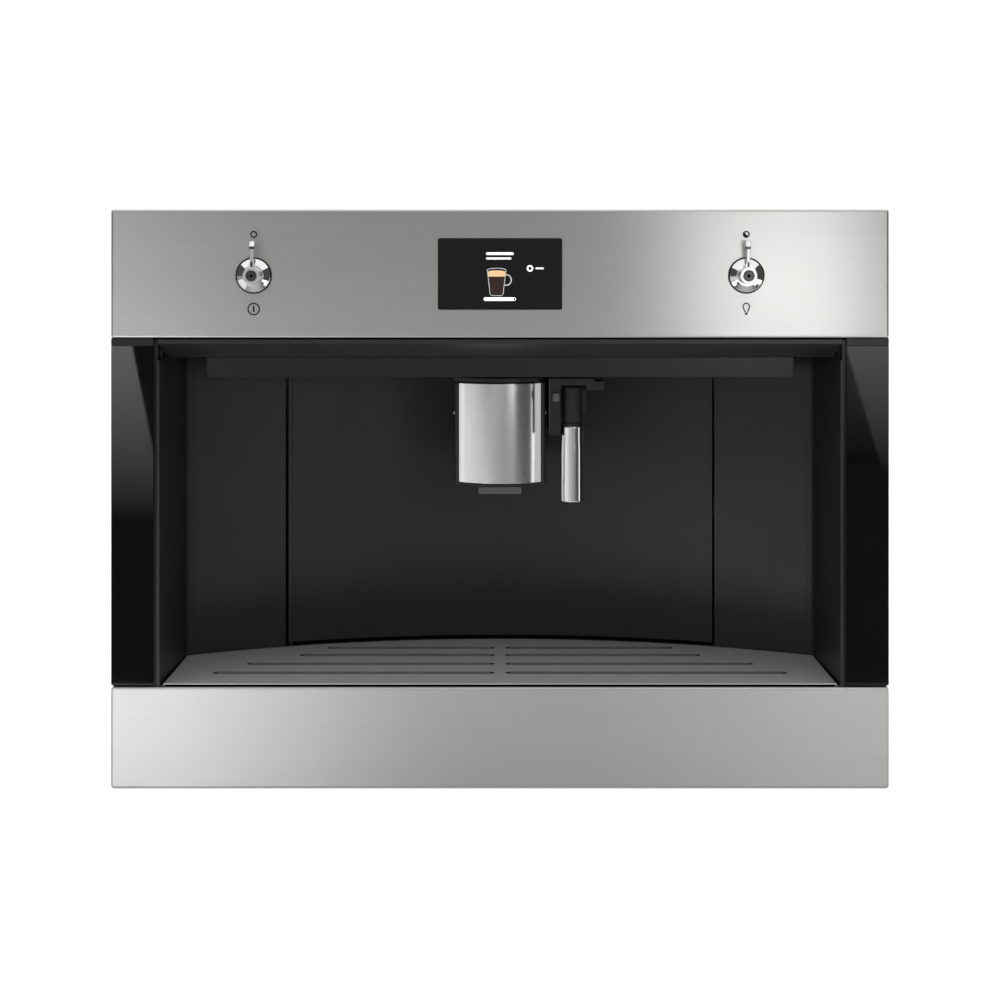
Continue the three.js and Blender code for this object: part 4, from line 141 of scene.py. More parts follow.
def rounded_box(low, high, radius, steps=5):
    """A box with round edges: the octants of a small sphere pulled apart to the box's corners.

    Each coordinate is the box's middle, plus or minus the reach to a corner's centre, plus the sphere's own.
    """
    low, high = np.array(low, dtype=float), np.array(high, dtype=float)
    quarter = np.linspace(0, np.pi / 2, steps)
    around = np.concatenate([quarter + k * np.pi / 2 for k in range(4)])
    sign_x = np.repeat([1, -1, -1, 1], steps)
    sign_y = np.repeat([1, 1, -1, -1], steps)
    rise = np.concatenate([quarter - np.pi / 2, quarter])
    sign_z = np.repeat([-1, 1], steps)
    middle, reach = (low + high) / 2, (high - low) / 2 - radius
    x = middle[0] + sign_x * reach[0] + radius * np.cos(rise)[:, None] * np.cos(around)
    y = middle[1] + sign_y * reach[1] + radius * np.cos(rise)[:, None] * np.sin(around)
    z = middle[2] + (sign_z * reach[2] + radius * np.sin(rise))[:, None] + 0 * x
    grid = np.stack([x, y, z], axis=-1)
    ends = [np.repeat(grid[k].mean(axis=0)[None], grid.shape[1], axis=0) for k in (0, -1)]
    return np.concatenate([ends[0][None], grid, ends[1][None]]), False, True


def plate(outline, back, front):
    """A thin plate facing front: its [x, z] outline at two depths, closed by a point at the middle.

    The outline is star-shaped about its mean.
    """
    outline = np.array(outline, dtype=float)
    middle = outline.mean(axis=0) + 0 * outline
    rows = [(middle, front), (outline, front), (outline, back), (middle, back)]
    grid = np.stack([np.column_stack([p[:, 0], np.full(len(p), y), p[:, 1]]) for p, y in rows])
    return grid, False, True


def ring_plate(centre, inner, outer, back, front, steps=64):
    """A flat ring facing front: four edges carried round, each at its radius times the cosine and sine."""
    angle = np.linspace(0, 2 * np.pi, steps, endpoint=False)
    x, z = centre
    rows = [(inner, front), (outer, front), (outer, back), (inner, back)]
    grid = np.stack([
        np.column_stack([x + r * np.cos(angle), np.full(steps, y), z + r * np.sin(angle)]) for r, y in rows
    ])
    return grid, True, True


def arc(centre, radius, steps, start, sweep):
    """Points on an arc in [x, z]: the centre plus the radius times the cosine and the sine of the angle."""
    angle = start + np.linspace(0, sweep, steps)
    return np.column_stack([centre[0] + radius * np.cos(angle), centre[1] + radius * np.sin(angle)])


def pill(centre, half_length, half_height, steps=8):
    """A bar with round ends: two half circles joined by straight sides."""
    right = arc((centre[0] + half_length - half_height, centre[1]), half_height, steps, -np.pi / 2, np.pi)
    left = arc((centre[0] - half_length + half_height, centre[1]), half_height, steps, np.pi / 2, np.pi)
    return np.concatenate([right, left])


def wall(path, thickness, low, high, bevel, steps=4):
    """An upright wall: a rounded rectangle, thickness by height, carried along a plan path [x, y].

    A point lies at the path's point plus the left normal times its distance across, at its own height.
    The thickness lies to the left of the path; low may differ from point to point. Both ends close.
    """
    path = np.array(path, dtype=float)
    along = np.gradient(path, axis=0)
    along /= np.linalg.norm(along, axis=1, keepdims=True)
    left = np.column_stack([-along[:, 1], along[:, 0]])
    low = np.broadcast_to(np.asarray(low, dtype=float), (len(path),))[:, None]
    quarter = np.linspace(0, np.pi / 2, steps)
    turn = np.concatenate([quarter + k * np.pi / 2 for k in range(4)])
    across = np.repeat([thickness - bevel, bevel, bevel, thickness - bevel], steps) + bevel * np.cos(turn)
    foot = np.repeat([0.0, 0.0, 1.0, 1.0], steps)
    upright = (1 - foot) * (high - bevel) + foot * (low + bevel) + bevel * np.sin(turn)
    plan = path[:, None, :] + left[:, None, :] * across[None, :, None]
    return capped(np.concatenate([plan, upright[:, :, None]], axis=-1))


def capped(grid):
    """A tube of closed rows with each end drawn in to its middle."""
    ends = [np.repeat(grid[k].mean(axis=0)[None], grid.shape[1], axis=0)[None] for k in (0, -1)]
    return np.concatenate([ends[0], grid, ends[1]]), False, True


def prism(outline, low, high, bevel, steps=4):
    """An upright prism on a plan outline [x, y] that is star-shaped about its mean.

    Its rims are quarter rounds: the outline drawn in by 1 less the sine, as the height goes on by 1 less the
    cosine of one angle, both times the bevel.
    """
    outline = np.array(outline, dtype=float)
    middle = outline.mean(axis=0)
    radial = outline - middle
    radial /= np.linalg.norm(radial, axis=1, keepdims=True)
    quarter = np.linspace(0, np.pi / 2, steps)
    inset = bevel * (1 - np.concatenate([np.sin(quarter), np.cos(quarter)]))
    height = np.concatenate([low + bevel * (1 - np.cos(quarter)), high - bevel * (1 - np.sin(quarter))])
    rows = [np.column_stack([outline - radial * d, np.full(len(outline), z)]) for d, z in zip(inset, height)]
    return capped(np.stack(rows))


def facing(grid, centre):
    """Turns an upright form [x, y, z] to face front about a centre: its z counts forwards, its y up."""
    points, wrap_rows, wrap_columns = grid
    turned_over = np.stack([points[..., 0], -points[..., 2], points[..., 1]], axis=-1)
    return turned_over + np.array(centre, dtype=float), wrap_rows, wrap_columns


def mirrored(grid, side):
    """The same form on the right (side 1) or, mirrored in x, on the left (side -1)."""
    points, wrap_rows, wrap_columns = grid
    return points * np.array([side, 1.0, 1.0]), wrap_rows, wrap_columns


def dressed(piece, material, body, *nodes, slot=None):
    """Gives a piece its material and body, and hides the CAD nodes that it stands for."""
    piece.data.materials.append(material)
    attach(piece, body)
    if nodes:
        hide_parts(*nodes)
    return piece


# ---- Materials -----------------------------------------------------------------------------------


class Finish:
    """A principled material whose nodes are added in a few words."""

    def __init__(self, name, **sockets):
        self.material = bpy.data.materials.new(name)
        self.material.use_nodes = True
        self.tree = self.material.node_tree
        self.shader = self.tree.nodes["Principled BSDF"]
        self.place = self.tree.nodes.new("ShaderNodeTexCoord").outputs["Object"]
        self.bump_chain = None
        for socket, value in sockets.items():
            self.shader.inputs[socket.replace("_", " ")].default_value = value

    def node(self, kind, **settings):
        """A new node of a kind, with its settings."""
        made = self.tree.nodes.new(kind)
        for key, value in settings.items():
            setattr(made, key, value)
        return made

    def link(self, source, target):
        """Joins an output to an input."""
        self.tree.links.new(source, target)

    def stretched(self, scale):
        """Object coordinates in metres, times a scale for each axis."""
        mapping = self.node("ShaderNodeMapping")
        mapping.inputs["Scale"].default_value = scale
        self.link(self.place, mapping.inputs["Vector"])
        return mapping.outputs["Vector"]

    def noise(self, scale, detail, stretch=(1, 1, 1)):
        """Noise in object space, its place multiplied by the stretch of each axis."""
        texture = self.node("ShaderNodeTexNoise")
        texture.inputs["Scale"].default_value = scale
        texture.inputs["Detail"].default_value = detail
        self.link(self.stretched(stretch), texture.inputs["Vector"])
        return texture.outputs["Fac"]

    def along(self, axis):
        """The object coordinate along X, Y or Z, in metres."""
        split = self.node("ShaderNodeSeparateXYZ")
        self.link(self.place, split.inputs["Vector"])
        return split.outputs[axis]

    def between(self, factor, low, high, start=0.3, end=0.7):
        """Maps a factor from start..end to low..high."""
        mapped = self.node("ShaderNodeMapRange")
        for name, value in zip(("From Min", "From Max", "To Min", "To Max"), (start, end, low, high)):
            mapped.inputs[name].default_value = value
        self.link(factor, mapped.inputs["Value"])
        return mapped.outputs["Result"]

    def roughness(self, factor, low, high):
        """Roughness that a factor moves from low to high."""
        self.link(self.between(factor, low, high), self.shader.inputs["Roughness"])

    def colour(self, factor, first, second, start=0.3, end=0.7):
        """Base colour, from the first to the second as the factor runs from start to end."""
        mix = self.node("ShaderNodeMix", data_type="RGBA")
        mix.inputs["A"].default_value = (*first, 1)
        mix.inputs["B"].default_value = (*second, 1)
        self.link(self.between(factor, 0, 1, start, end), mix.inputs["Factor"])
        self.link(mix.outputs["Result"], self.shader.inputs["Base Color"])

    def edge(self, radius):
        """Rounds the look of sharp edges, with a radius in metres."""
        bevel = self.node("ShaderNodeBevel", samples=4)
        bevel.inputs["Radius"].default_value = radius
        self.bump_chain = bevel.outputs["Normal"]
        self.link(self.bump_chain, self.shader.inputs["Normal"])

    def grain_across(self, amount, direction):
        """Draws highlights out along a direction in object space, across the brushing."""
        turn = self.node("ShaderNodeVectorTransform", vector_type="VECTOR")
        turn.convert_from, turn.convert_to = "OBJECT", "WORLD"
        turn.inputs["Vector"].default_value = direction
        self.shader.inputs["Anisotropic"].default_value = amount
        self.link(turn.outputs["Vector"], self.shader.inputs["Tangent"])

    def bump(self, height, distance, strength):
        """Adds a bump; several are chained."""
        bump = self.node("ShaderNodeBump")
        bump.inputs["Strength"].default_value = strength
        bump.inputs["Distance"].default_value = distance
        self.link(height, bump.inputs["Height"])
        if self.bump_chain:
            self.link(self.bump_chain, bump.inputs["Normal"])
        self.bump_chain = bump.outputs["Normal"]
        self.link(self.bump_chain, self.shader.inputs["Normal"])


def shade(tone, share):
    """A colour made darker or lighter."""
    return tuple(min(1, c * share) for c in tone)


def brushed_steel(name, tone, along, rough, across=0.0, metallic=1.0):
    """Stainless sheet: hair-fine streaks drawn out along the brushing, over slow cloudy changes."""
    finish = Finish(name, Metallic=metallic)
    streaks = finish.noise(1.0, 3.0, tuple(30 if axis == along else 2200 for axis in "xyz"))
    bands = finish.noise(1.0, 2.0, tuple(5 if axis == along else 260 for axis in "xyz"))
    finish.colour(bands, shade(tone, 0.985), shade(tone, 1.015), 0.25, 0.75)
    finish.roughness(streaks, rough - 0.02, rough + 0.03)
    finish.bump(streaks, 0.000004, 0.3)
    if across:
        finish.grain_across(across, (0, 0, 1) if along == "x" else (1, 0, 0))
    return finish.material


def plain_metal(name, tone, rough, grain=400.0, depth=0.00002):
    """Metal with a fine even grain and slightly uneven gloss."""
    finish = Finish(name, Metallic=1.0)
    grain_noise = finish.noise(grain, 4.0)
    finish.colour(finish.noise(40.0, 3.0), shade(tone, 0.93), tone)
    finish.roughness(grain_noise, rough * 0.85, rough * 1.15)
    finish.bump(grain_noise, depth, 0.4)
    return finish.material


def zinc_sheet(name):
    """Zinc-coated sheet: pale crystals of random tone, each a few millimetres wide."""
    finish = Finish(name, Metallic=0.85)
    cells = finish.node("ShaderNodeTexVoronoi")
    cells.inputs["Scale"].default_value = 420.0
    finish.link(finish.place, cells.inputs["Vector"])
    tone = finish.node("ShaderNodeSeparateColor")
    finish.link(cells.outputs["Color"], tone.inputs["Color"])
    finish.colour(tone.outputs["Red"], (0.56, 0.57, 0.58), (0.66, 0.67, 0.68), 0.0, 1.0)
    finish.roughness(tone.outputs["Green"], 0.38, 0.55)
    finish.bump(finish.noise(300.0, 3.0), 0.00002, 0.3)
    return finish.material


def moulding(name, tone, rough, grain=900.0, depth=0.00003, coat=0.0, edge=0.0, gloss=0.4):
    """Moulded plastic: a fine spark-eroded grain and faint changes of gloss."""
    finish = Finish(name, Specular_IOR_Level=gloss, Coat_Weight=coat)
    if edge:
        finish.edge(edge)
    grain_noise = finish.noise(grain, 3.0)
    cloud = finish.noise(25.0, 2.0)
    finish.colour(cloud, shade(tone, 0.9), shade(tone, 1.1))
    finish.roughness(cloud, rough * 0.92, rough * 1.08)
    finish.bump(grain_noise, depth, 0.5)
    return finish.material


def black_glass(name, specular):
    """Black glass, polished: a dark body under a clean mirror surface, with the faintest smear."""
    finish = Finish(name, Specular_IOR_Level=specular)
    smear = finish.noise(30.0, 3.0, (1, 1, 3))
    finish.colour(smear, (0.003, 0.003, 0.0035), (0.004, 0.004, 0.0045))
    finish.roughness(smear, 0.015, 0.03)
    return finish.material


def clear_plastic(name, tone, rough, transmission):
    """Clear moulded plastic with a slight tint and softly uneven surface."""
    finish = Finish(name, Transmission_Weight=transmission, IOR=1.49)
    cloud = finish.noise(60.0, 2.0)
    finish.colour(cloud, shade(tone, 0.95), tone)
    finish.roughness(cloud, rough, rough * 1.6)
    finish.bump(cloud, 0.00005, 0.2)
    return finish.material


def lit(name, tone, strength):
    """A lit field of the display: its own light with a faint raster of picture elements."""
    finish = Finish(name, Roughness=0.4, Emission_Color=(*tone, 1), Emission_Strength=strength)
    finish.colour(finish.noise(2500.0, 0.0), shade(tone, 0.94), tone)
    return finish.material


STAINLESS = brushed_steel("stainless_brushed", (0.65, 0.645, 0.63), "x", 0.34, across=0.7)
STAINLESS_PLATE = brushed_steel("stainless_plate", (0.60, 0.60, 0.595), "x", 0.4, metallic=0.2)
STAINLESS_SHELL = brushed_steel("stainless_shell", (0.80, 0.80, 0.79), "x", 0.2, across=0.4)
STAINLESS_TUBE = brushed_steel("stainless_tube", (0.92, 0.92, 0.91), "z", 0.14)
CHROME = plain_metal("chrome_plate", (0.88, 0.88, 0.88), 0.05, 300.0, 0.000002)
LEVER_CHROME = plain_metal("satin_chrome", (0.92, 0.92, 0.92), 0.36, 900.0, 0.0000002)
ZINC = zinc_sheet("zinc_coated_sheet")
RAIL_STEEL = brushed_steel("rolled_steel", (0.55, 0.56, 0.57), "y", 0.3)
GLASS = black_glass("black_glass", 0.35)
DISPLAY_GLASS = black_glass("display_glass", 0.3)
SATIN = moulding("black_satin", (0.012, 0.012, 0.0125), 0.36, 1400.0, 0.00001, edge=0.0006)
MOULDED = moulding("black_moulding", (0.016, 0.016, 0.0165), 0.5, edge=0.0005)
SMOKED = clear_plastic("smoked_plastic", (0.25, 0.25, 0.27), 0.06, 0.85)
CLEAR = clear_plastic("clear_tank", (0.86, 0.93, 0.96), 0.05, 0.95)
LENS = clear_plastic("frosted_lens", (0.95, 0.94, 0.88), 0.45, 0.4)
SCREW_STEEL = plain_metal("screw_steel", (0.72, 0.73, 0.74), 0.3, 500.0)
CASTING = plain_metal("cast_aluminium", (0.50, 0.51, 0.52), 0.5, 700.0, 0.00008)
WHITE = moulding("white_moulding", (0.72, 0.71, 0.67), 0.45)
BRASS = plain_metal("brass", (0.75, 0.56, 0.26), 0.25)
BOARD = moulding("green_board", (0.03, 0.12, 0.07), 0.35, 1200.0, 0.00002, coat=0.4)
# A lighter copy of the black satin: the visor's tone is painted lighter to stand for light on its sloping
# face.
VISOR_SATIN_PAINTED_LIGHT = moulding("visor_satin_painted_light", (0.026, 0.026, 0.0265), 0.4, 1400.0, 0.00001, edge=0.0006)
# A lighter copy of the black satin: the recess walls' tone is painted lighter to stand for light in the
# recess.
RECESS_SATIN_PAINTED_LIGHT = moulding("recess_satin_painted_light", (0.017, 0.017, 0.0175), 0.42, 1600.0, 0.000006)
# Flat black for painted shade: in the fascia's gap, round the plate's slots, under its lip and in the knob
# caps.
PAINTED_SHADE = moulding("painted_shadow_black", (0.002, 0.002, 0.002), 1.0, 900.0, 0.00001, gloss=0.0)
# Black ink of the printed signs; the same black is the painted shade round each knob disc.
INK_AND_PAINTED_SHADE = moulding("printed_ink_and_painted_shade", (0.006, 0.006, 0.006), 0.6, 3000.0, 0.000005)
CAP_GREY = moulding("grey_moulding", (0.12, 0.12, 0.122), 0.4, 1200.0, 0.00001)
CAP = moulding("dark_cap", (0.05, 0.05, 0.052), 0.25, 2000.0, 0.000005)
WHITE_LIGHT = lit("display_white", (1, 1, 1), 0.9)
CREMA = lit("display_crema", (0.75, 0.50, 0.26), 0.6)
COFFEE = lit("display_coffee", (0.03, 0.012, 0.008), 0.2)
OUTLINE_GREY = lit("display_grey", (0.55, 0.55, 0.56), 0.5)

NODE_FINISHES = {
    STAINLESS: ["upper_fascia", "lower_fascia"],
    STAINLESS_PLATE: ["cup_plate"],
    ZINC: ["base_pan", "floor_pan", "side_panel_left", "side_panel_right", "rear_panel", "top_panel",
           "front_frame", "inner_frame"],
    RAIL_STEEL: ["middle_rail_left", "middle_rail_right", "knob_shaft_left", "knob_shaft_right"],
    GLASS: ["column_glass_left", "column_glass_right"],
    DISPLAY_GLASS: ["display_glass"],
    SATIN: ["column_left", "column_right", "recess_lining_left", "recess_lining_right",
            "lamp_housing", "service_door", "spout_guide", "water_connector", "hopper_lid",
            "door_hinge_rod"],
    MOULDED: ["drip_bowl", "door_liner", "door_catch", "spout_body", "water_sleeve",
              "cavity_floor", "tank_lid", "grounds_container", "brew_chamber", "mains_inlet"],
    SMOKED: ["bean_hopper"],
    CLEAR: ["water_tank"],
    LENS: ["lamp_lens_left", "lamp_lens_right"],
    CASTING: ["grinder", "brew_motor", "boiler", "pump"],
    WHITE: ["tank_valve", "brew_frame"],
    BRASS: ["brew_spindle", "motor_pinion"],
    CAP_GREY: ["release_button"],
    VISOR_SATIN_PAINTED_LIGHT: ["recess_visor"],
    BOARD: ["control_board", "power_board"],
    CHROME: ["knob_disc_left", "knob_disc_right", "knob_lever_left", "knob_lever_right"],
    STAINLESS_SHELL: ["spout_shell"],
    STAINLESS_TUBE: ["water_tube"],
}
for finish, nodes in NODE_FINISHES.items():
    for node in nodes:
        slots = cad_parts[node].data.materials
        if slots:
            slots[0] = finish
        else:
            slots.append(finish)

# ---- Fascias -------------------------------------------------------------------------------------

FOLD = 1.6  # outer radius of the folded edges
SHEET = 1.2
CORNER = 1.9  # radius of the front's corners
WINDOW_CORNER = 1.4  # of the display's hole
WINDOW_GAP = 0.3  # round the display's glass
RING = 0.1  # a narrow ring of face beside each fold and hole
TIGHT = 0.1  # least radius of a corner


def frame_line(low, high, radius, steps=6):
    """A rectangle [x, z] with round corners: each corner's centre plus the radius times cosine and sine.

    The corners always come in the same order, so that lines can be joined.
    """
    quarter = np.linspace(0, np.pi / 2, steps)
    turn = np.concatenate([quarter + k * np.pi / 2 for k in range(4)])
    x = np.repeat([high[0] - radius, low[0] + radius, low[0] + radius, high[0] - radius], steps)
    z = np.repeat([high[1] - radius, high[1] - radius, low[1] + radius, low[1] + radius], steps)
    return np.column_stack([x + radius * np.cos(turn), z + radius * np.sin(turn)])


def folded_pan(node, window=None):
    """A folded sheet pan open at the back: its rim is carried round the fold, over the face and back inside.

    The window is a rectangle in the face, (low, high) in [x, z]; without one the face closes in its middle.
    """
    low, high = (np.array(corner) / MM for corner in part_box(node))
    back, middle = high[1], np.array([(low[0] + high[0]) / 2, (low[2] + high[2]) / 2])

    def rim(inset):
        return frame_line(low[[0, 2]] + inset, high[[0, 2]] - inset, max(CORNER - inset, TIGHT))

    if window:
        hole = frame_line(*window, WINDOW_CORNER)
        ring = frame_line(window[0] - RING, window[1] + RING, WINDOW_CORNER + RING)
    else:
        hole = ring = np.repeat(middle[None], len(rim(0)), axis=0)
    fold = np.linspace(0, np.pi / 2, 8)
    inside = FRONT + SHEET
    rows = [(rim(0), back)]
    rows += [(rim(FOLD * (1 - np.cos(t))), FRONT + FOLD * (1 - np.sin(t))) for t in fold]
    rows += [(rim(FOLD + RING), FRONT), (ring, FRONT), (hole, FRONT)]
    rows += [(hole, inside), (rim(SHEET), inside), (rim(SHEET), back)]
    grid = np.stack([np.column_stack([line[:, 0], np.full(len(line), y), line[:, 1]]) for line, y in rows])
    piece = surface(node.replace("fascia", "front"), (grid, True, True))
    return dressed(piece, STAINLESS, "machine", node, slot="brushed_steel")


window_low = np.array([glass_low[0], glass_low[2]]) / MM - WINDOW_GAP
window_high = np.array([glass_high[0], glass_high[2]]) / MM + WINDOW_GAP
folded_pan("upper_fascia", (window_low, window_high))
folded_pan("lower_fascia")
# A black strip behind the upper fascia's bottom fold: painted shade of the gap there.
gap_shade = rounded_box((-HALF_WIDTH + 0.6, FRONT + 1.0, UPPER_BOTTOM - 1.5),
                  (HALF_WIDTH - 0.6, FRONT + 2.2, UPPER_BOTTOM + 0.3), 0.2)
dressed(surface("fascia_gap_painted_shade", gap_shade), PAINTED_SHADE, "machine", slot="black_satin")

# ---- Knobs ---------------------------------------------------------------------------------------

HUB = 6.7  # radius
TIP_FOOT, TIP_END = 21.8, 26.4  # the lever's tip, from the hub's centre
TIP_LEAN = 0.62  # depth of its face to its height: it leans back towards the light


def flare_outline():
    """The hub's outline [x, z] with its flare: a circle that runs by two quadratic curves into a neck."""
    angle = np.linspace(np.radians(128), np.radians(412), 72)
    hub = HUB * 0.985 * np.column_stack([np.cos(angle), np.sin(angle)])
    t = np.linspace(0, 1, 12)[1:, None]
    shoulder, waist, neck = hub[-1], np.array([1.5, 6.6]), np.array([1.35, 11.0])
    right = (1 - t) ** 2 * shoulder + 2 * t * (1 - t) * waist + t**2 * neck
    return np.concatenate([hub, right, right[::-1] * [-1, 1]])


# Profiles hold [radius, height in front of the fascias].
for side, x in (("left", -KNOB_X), ("right", KNOB_X)):
    centre = (x, FRONT, KNOB_Z)
    disc = turned(rounded([
        [5.9, 0.3], [12.9, 0.3], [12.9, 1.4], [12.6, 1.7], [10.2, 3.1], [7.9, 4.6], [5.9, 4.6], [5.9, 0.3],
    ], 0.12, 4), centre, "front", 128)
    dressed(surface(f"disc_{side}", disc), CHROME, "machine", f"knob_disc_{side}", slot="chrome")
    # A black ring round the disc: painted shade of the gap between the disc and the fascia.
    knob_gap_shade = turned(rounded([
        [12.9, 0.05], [14.0, 0.05], [14.0, 1.0], [13.7, 1.3], [12.9, 1.3], [12.9, 0.05],
    ], 0.2, 4), centre, "front", 128)
    dressed(surface(f"disc_gap_shade_{side}", knob_gap_shade), INK_AND_PAINTED_SHADE, "machine", slot="black_moulded")
    hub = turned(rounded([
        [3.1, 7.0], [5.4, 7.0], [HUB, 8.6], [HUB, 15.5],
        [6.35, 16.1], [4.25, 16.1], [4.25, 15.3], [0.0, 15.3],
    ], 0.25, 5), centre, "front", 96)
    well = turned([[3.1, 7.0], [3.1, 13.3], [0.0, 13.3]], centre, "front", 96)
    flare = facing(prism(flare_outline(), 9.5, 13.5, 0.5), centre)
    stem = rounded_box((x - 1.42, FRONT - 13.5, KNOB_Z + 6), (x + 1.42, FRONT - 9.5, KNOB_Z + 20.8), 0.7)
    dressed(surface(f"lever_{side}", hub, well, flare, stem), LEVER_CHROME, f"{side}_knob",
            f"knob_lever_{side}", slot="chrome")
    tip, wrap_rows, wrap_columns = rounded_box(
        (x - 2.0, FRONT - 14.1, KNOB_Z + TIP_FOOT), (x + 2.0, FRONT - 10.5, KNOB_Z + TIP_END), 0.7)
    tip[..., 1] += TIP_LEAN * (tip[..., 2] - KNOB_Z - TIP_FOOT)
    dressed(surface(f"lever_tip_{side}", (tip, wrap_rows, wrap_columns)), CHROME, f"{side}_knob",
            slot="chrome")
    neck = rounded_box((x - 1.75, FRONT - 13.8, KNOB_Z + 20.3), (x + 1.75, FRONT - 9.2, KNOB_Z + 22.2), 0.3)
    dressed(surface(f"lever_neck_{side}", neck), CAP, f"{side}_knob", slot="black_moulded")
    cap = turned(rounded([
        [4.1, 15.3], [4.1, 16.3], [3.8, 16.6], [1.4, 16.6], [1.1, 16.3], [1.1, 15.5], [0.0, 15.5],
    ], 0.25, 5), centre, "front", 64)
    dressed(surface(f"lever_cap_{side}", cap), CAP, f"{side}_knob", slot="black_moulded")
    # A black disc at the foot of the cap's well: painted shade.
    hole = turned([[0.0, 15.4], [1.05, 15.4], [1.05, 15.62], [0.0, 15.62]], centre, "front", 32)
    dressed(surface(f"lever_well_shade_{side}", hole), PAINTED_SHADE, f"{side}_knob", slot="black_moulded")

# ---- Signs printed beside the knobs --------------------------------------------------------------

INK = (FRONT - 0.01, FRONT - 0.04)  # back and face of the print
SIGN_ABOVE = KNOB_Z + 31.6
SIGN_BELOW = KNOB_Z - 25.7


def printed(name, *grids):
    """A sign in ink on the upper fascia."""
    return dressed(surface(name, *grids), INK_AND_PAINTED_SHADE, "machine", slot="black_satin")


def ribbon(path, width, back, front):
    """A flat line facing front: an [x, z] path, plus and minus half of the width along its normal."""
    path = np.array(path, dtype=float)
    along = np.gradient(path, axis=0)
    along /= np.linalg.norm(along, axis=1, keepdims=True)
    side = np.column_stack([-along[:, 1], along[:, 0]]) * width / 2
    rows = [(path - side, front), (path + side, front), (path + side, back), (path - side, back)]
    return np.stack([np.column_stack([p[:, 0], np.full(len(p), y), p[:, 1]]) for p, y in rows]), True, False


def bar(x0, x1, z0, z1, back, front):
    """A flat rectangle facing front."""
    return plate([(x0, z0), (x1, z0), (x1, z1), (x0, z1)], back, front)


printed("sign_off", ring_plate((-KNOB_X, SIGN_ABOVE), 1.6, 2.75, *INK))
printed(
    "sign_on",
    ring_plate((-KNOB_X, SIGN_BELOW), 3.8, 4.85, *INK),
    bar(-KNOB_X - 0.65, -KNOB_X + 0.65, SIGN_BELOW - 2.5, SIGN_BELOW + 2.5, *INK),
)
printed(
    "sign_half",
    ring_plate((KNOB_X, SIGN_ABOVE), 1.6, 2.75, *INK),
    plate(arc((KNOB_X, SIGN_ABOVE), 1.9, 32, np.radians(135), np.pi), *INK),
)
bulb = arc((KNOB_X, SIGN_BELOW + 1.9), 2.5, 40, np.radians(-28), np.radians(236))
bulb = np.concatenate([[(KNOB_X + 0.85, SIGN_BELOW - 2.7)], bulb, [(KNOB_X - 0.85, SIGN_BELOW - 2.7)]])
printed(
    "sign_lamp",
    ribbon(bulb, 0.95, *INK),
    plate(pill((KNOB_X, SIGN_BELOW - 3.6), 1.15, 0.9), *INK),
)

# ---- Display -------------------------------------------------------------------------------------

LIT = (DISPLAY_FACE - 0.01, DISPLAY_FACE - 0.04)  # back and face of the picture
CUP_X = -2.6  # the cup's axis


def shown(name, material, *grids):
    """A lit field on the display."""
    return dressed(surface(name, *grids), material, "machine", slot="black_glass")


shown(
    "display_bars", WHITE_LIGHT,
    plate(pill((-0.1, DISPLAY_Z + 15.6), 10.6, 1.0), *LIT),
    plate(pill((-1.0, DISPLAY_Z + 11.9), 9.7, 0.75), *LIT),
    plate(pill((30.4, DISPLAY_Z + 4.3), 3.2, 0.6), *LIT),
    ring_plate((23.0, DISPLAY_Z + 4.3), 1.3, 2.5, *LIT),
    plate(pill((-1.0, DISPLAY_Z - 19.3), 11.6, 1.35), *LIT),
    ring_plate((10.9, DISPLAY_Z - 19.3), 0.85, 1.35, *LIT),
)
cup_top, cup_foot = DISPLAY_Z + 4.2, DISPLAY_Z - 16.6
half_turn = np.linspace(0, np.pi, 24)
mouth = np.column_stack([CUP_X + 7.2 * np.cos(half_turn), cup_top - 1.2 + 1.4 * np.sin(half_turn)])
sides = [(-9.3, cup_top - 5), (-7.6, cup_foot + 1.2), (-6.6, cup_foot), (1.4, cup_foot),
         (2.4, cup_foot + 1.2), (4.1, cup_top - 5), (4.6, cup_top - 1.2)]
handle = arc((4.6, DISPLAY_Z - 4.6), 4.1, 24, np.radians(95), np.radians(-205))
shown("display_cup", OUTLINE_GREY, ribbon(np.concatenate([mouth, sides]), 0.5, *LIT),
      ribbon(handle, 0.9, *LIT))
back_turn = half_turn[::-1]
crema_top = np.column_stack([CUP_X + 6.6 * np.cos(back_turn), cup_top - 2.6 + 1.2 * np.sin(back_turn)])
crema_foot = cup_top - 6.2
crema = np.concatenate([crema_top, [(3.7, crema_foot), (-8.9, crema_foot)]])
coffee = [(-8.8, crema_foot), (3.6, crema_foot), (1.9, cup_foot + 1.4), (1.0, cup_foot + 0.9),
          (-6.2, cup_foot + 0.9), (-7.1, cup_foot + 1.4)]
shown("display_crema", CREMA, plate(crema, *LIT))
shown("display_coffee", COFFEE, plate(coffee, *LIT))

# ---- Cup recess: smooth curved walls -------------------------------------------------------------

BACK_RADIUS = 516.6
BACK_CENTRE = FRONT + 178.0 - BACK_RADIUS
NICHE_HALF = 261.6
WALL_TAPER = 3.0  # the recess is narrower by this at the back, a side
LINING, DOOR_SHEET = 1.6, 3.0  # thicknesses
LEDGE = 13.0  # width of the tray's ledge from the side wall
FASCIA_BACK = 23.5  # down to this depth the side walls stand over the lower fascia
FASCIA_CLEAR = 78.7  # height of their foot there
lining_low, lining_high = (np.array(corner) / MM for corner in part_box("recess_lining_left"))
door_low, door_high = (np.array(corner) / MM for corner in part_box("service_door"))


def back_wall(x):
    """The curved back in plan, a circle: y is its centre plus the root of radius squared less x squared."""
    x = np.asarray(x, dtype=float)
    return np.column_stack([x, BACK_CENTRE + np.sqrt(BACK_RADIUS**2 - x**2)])


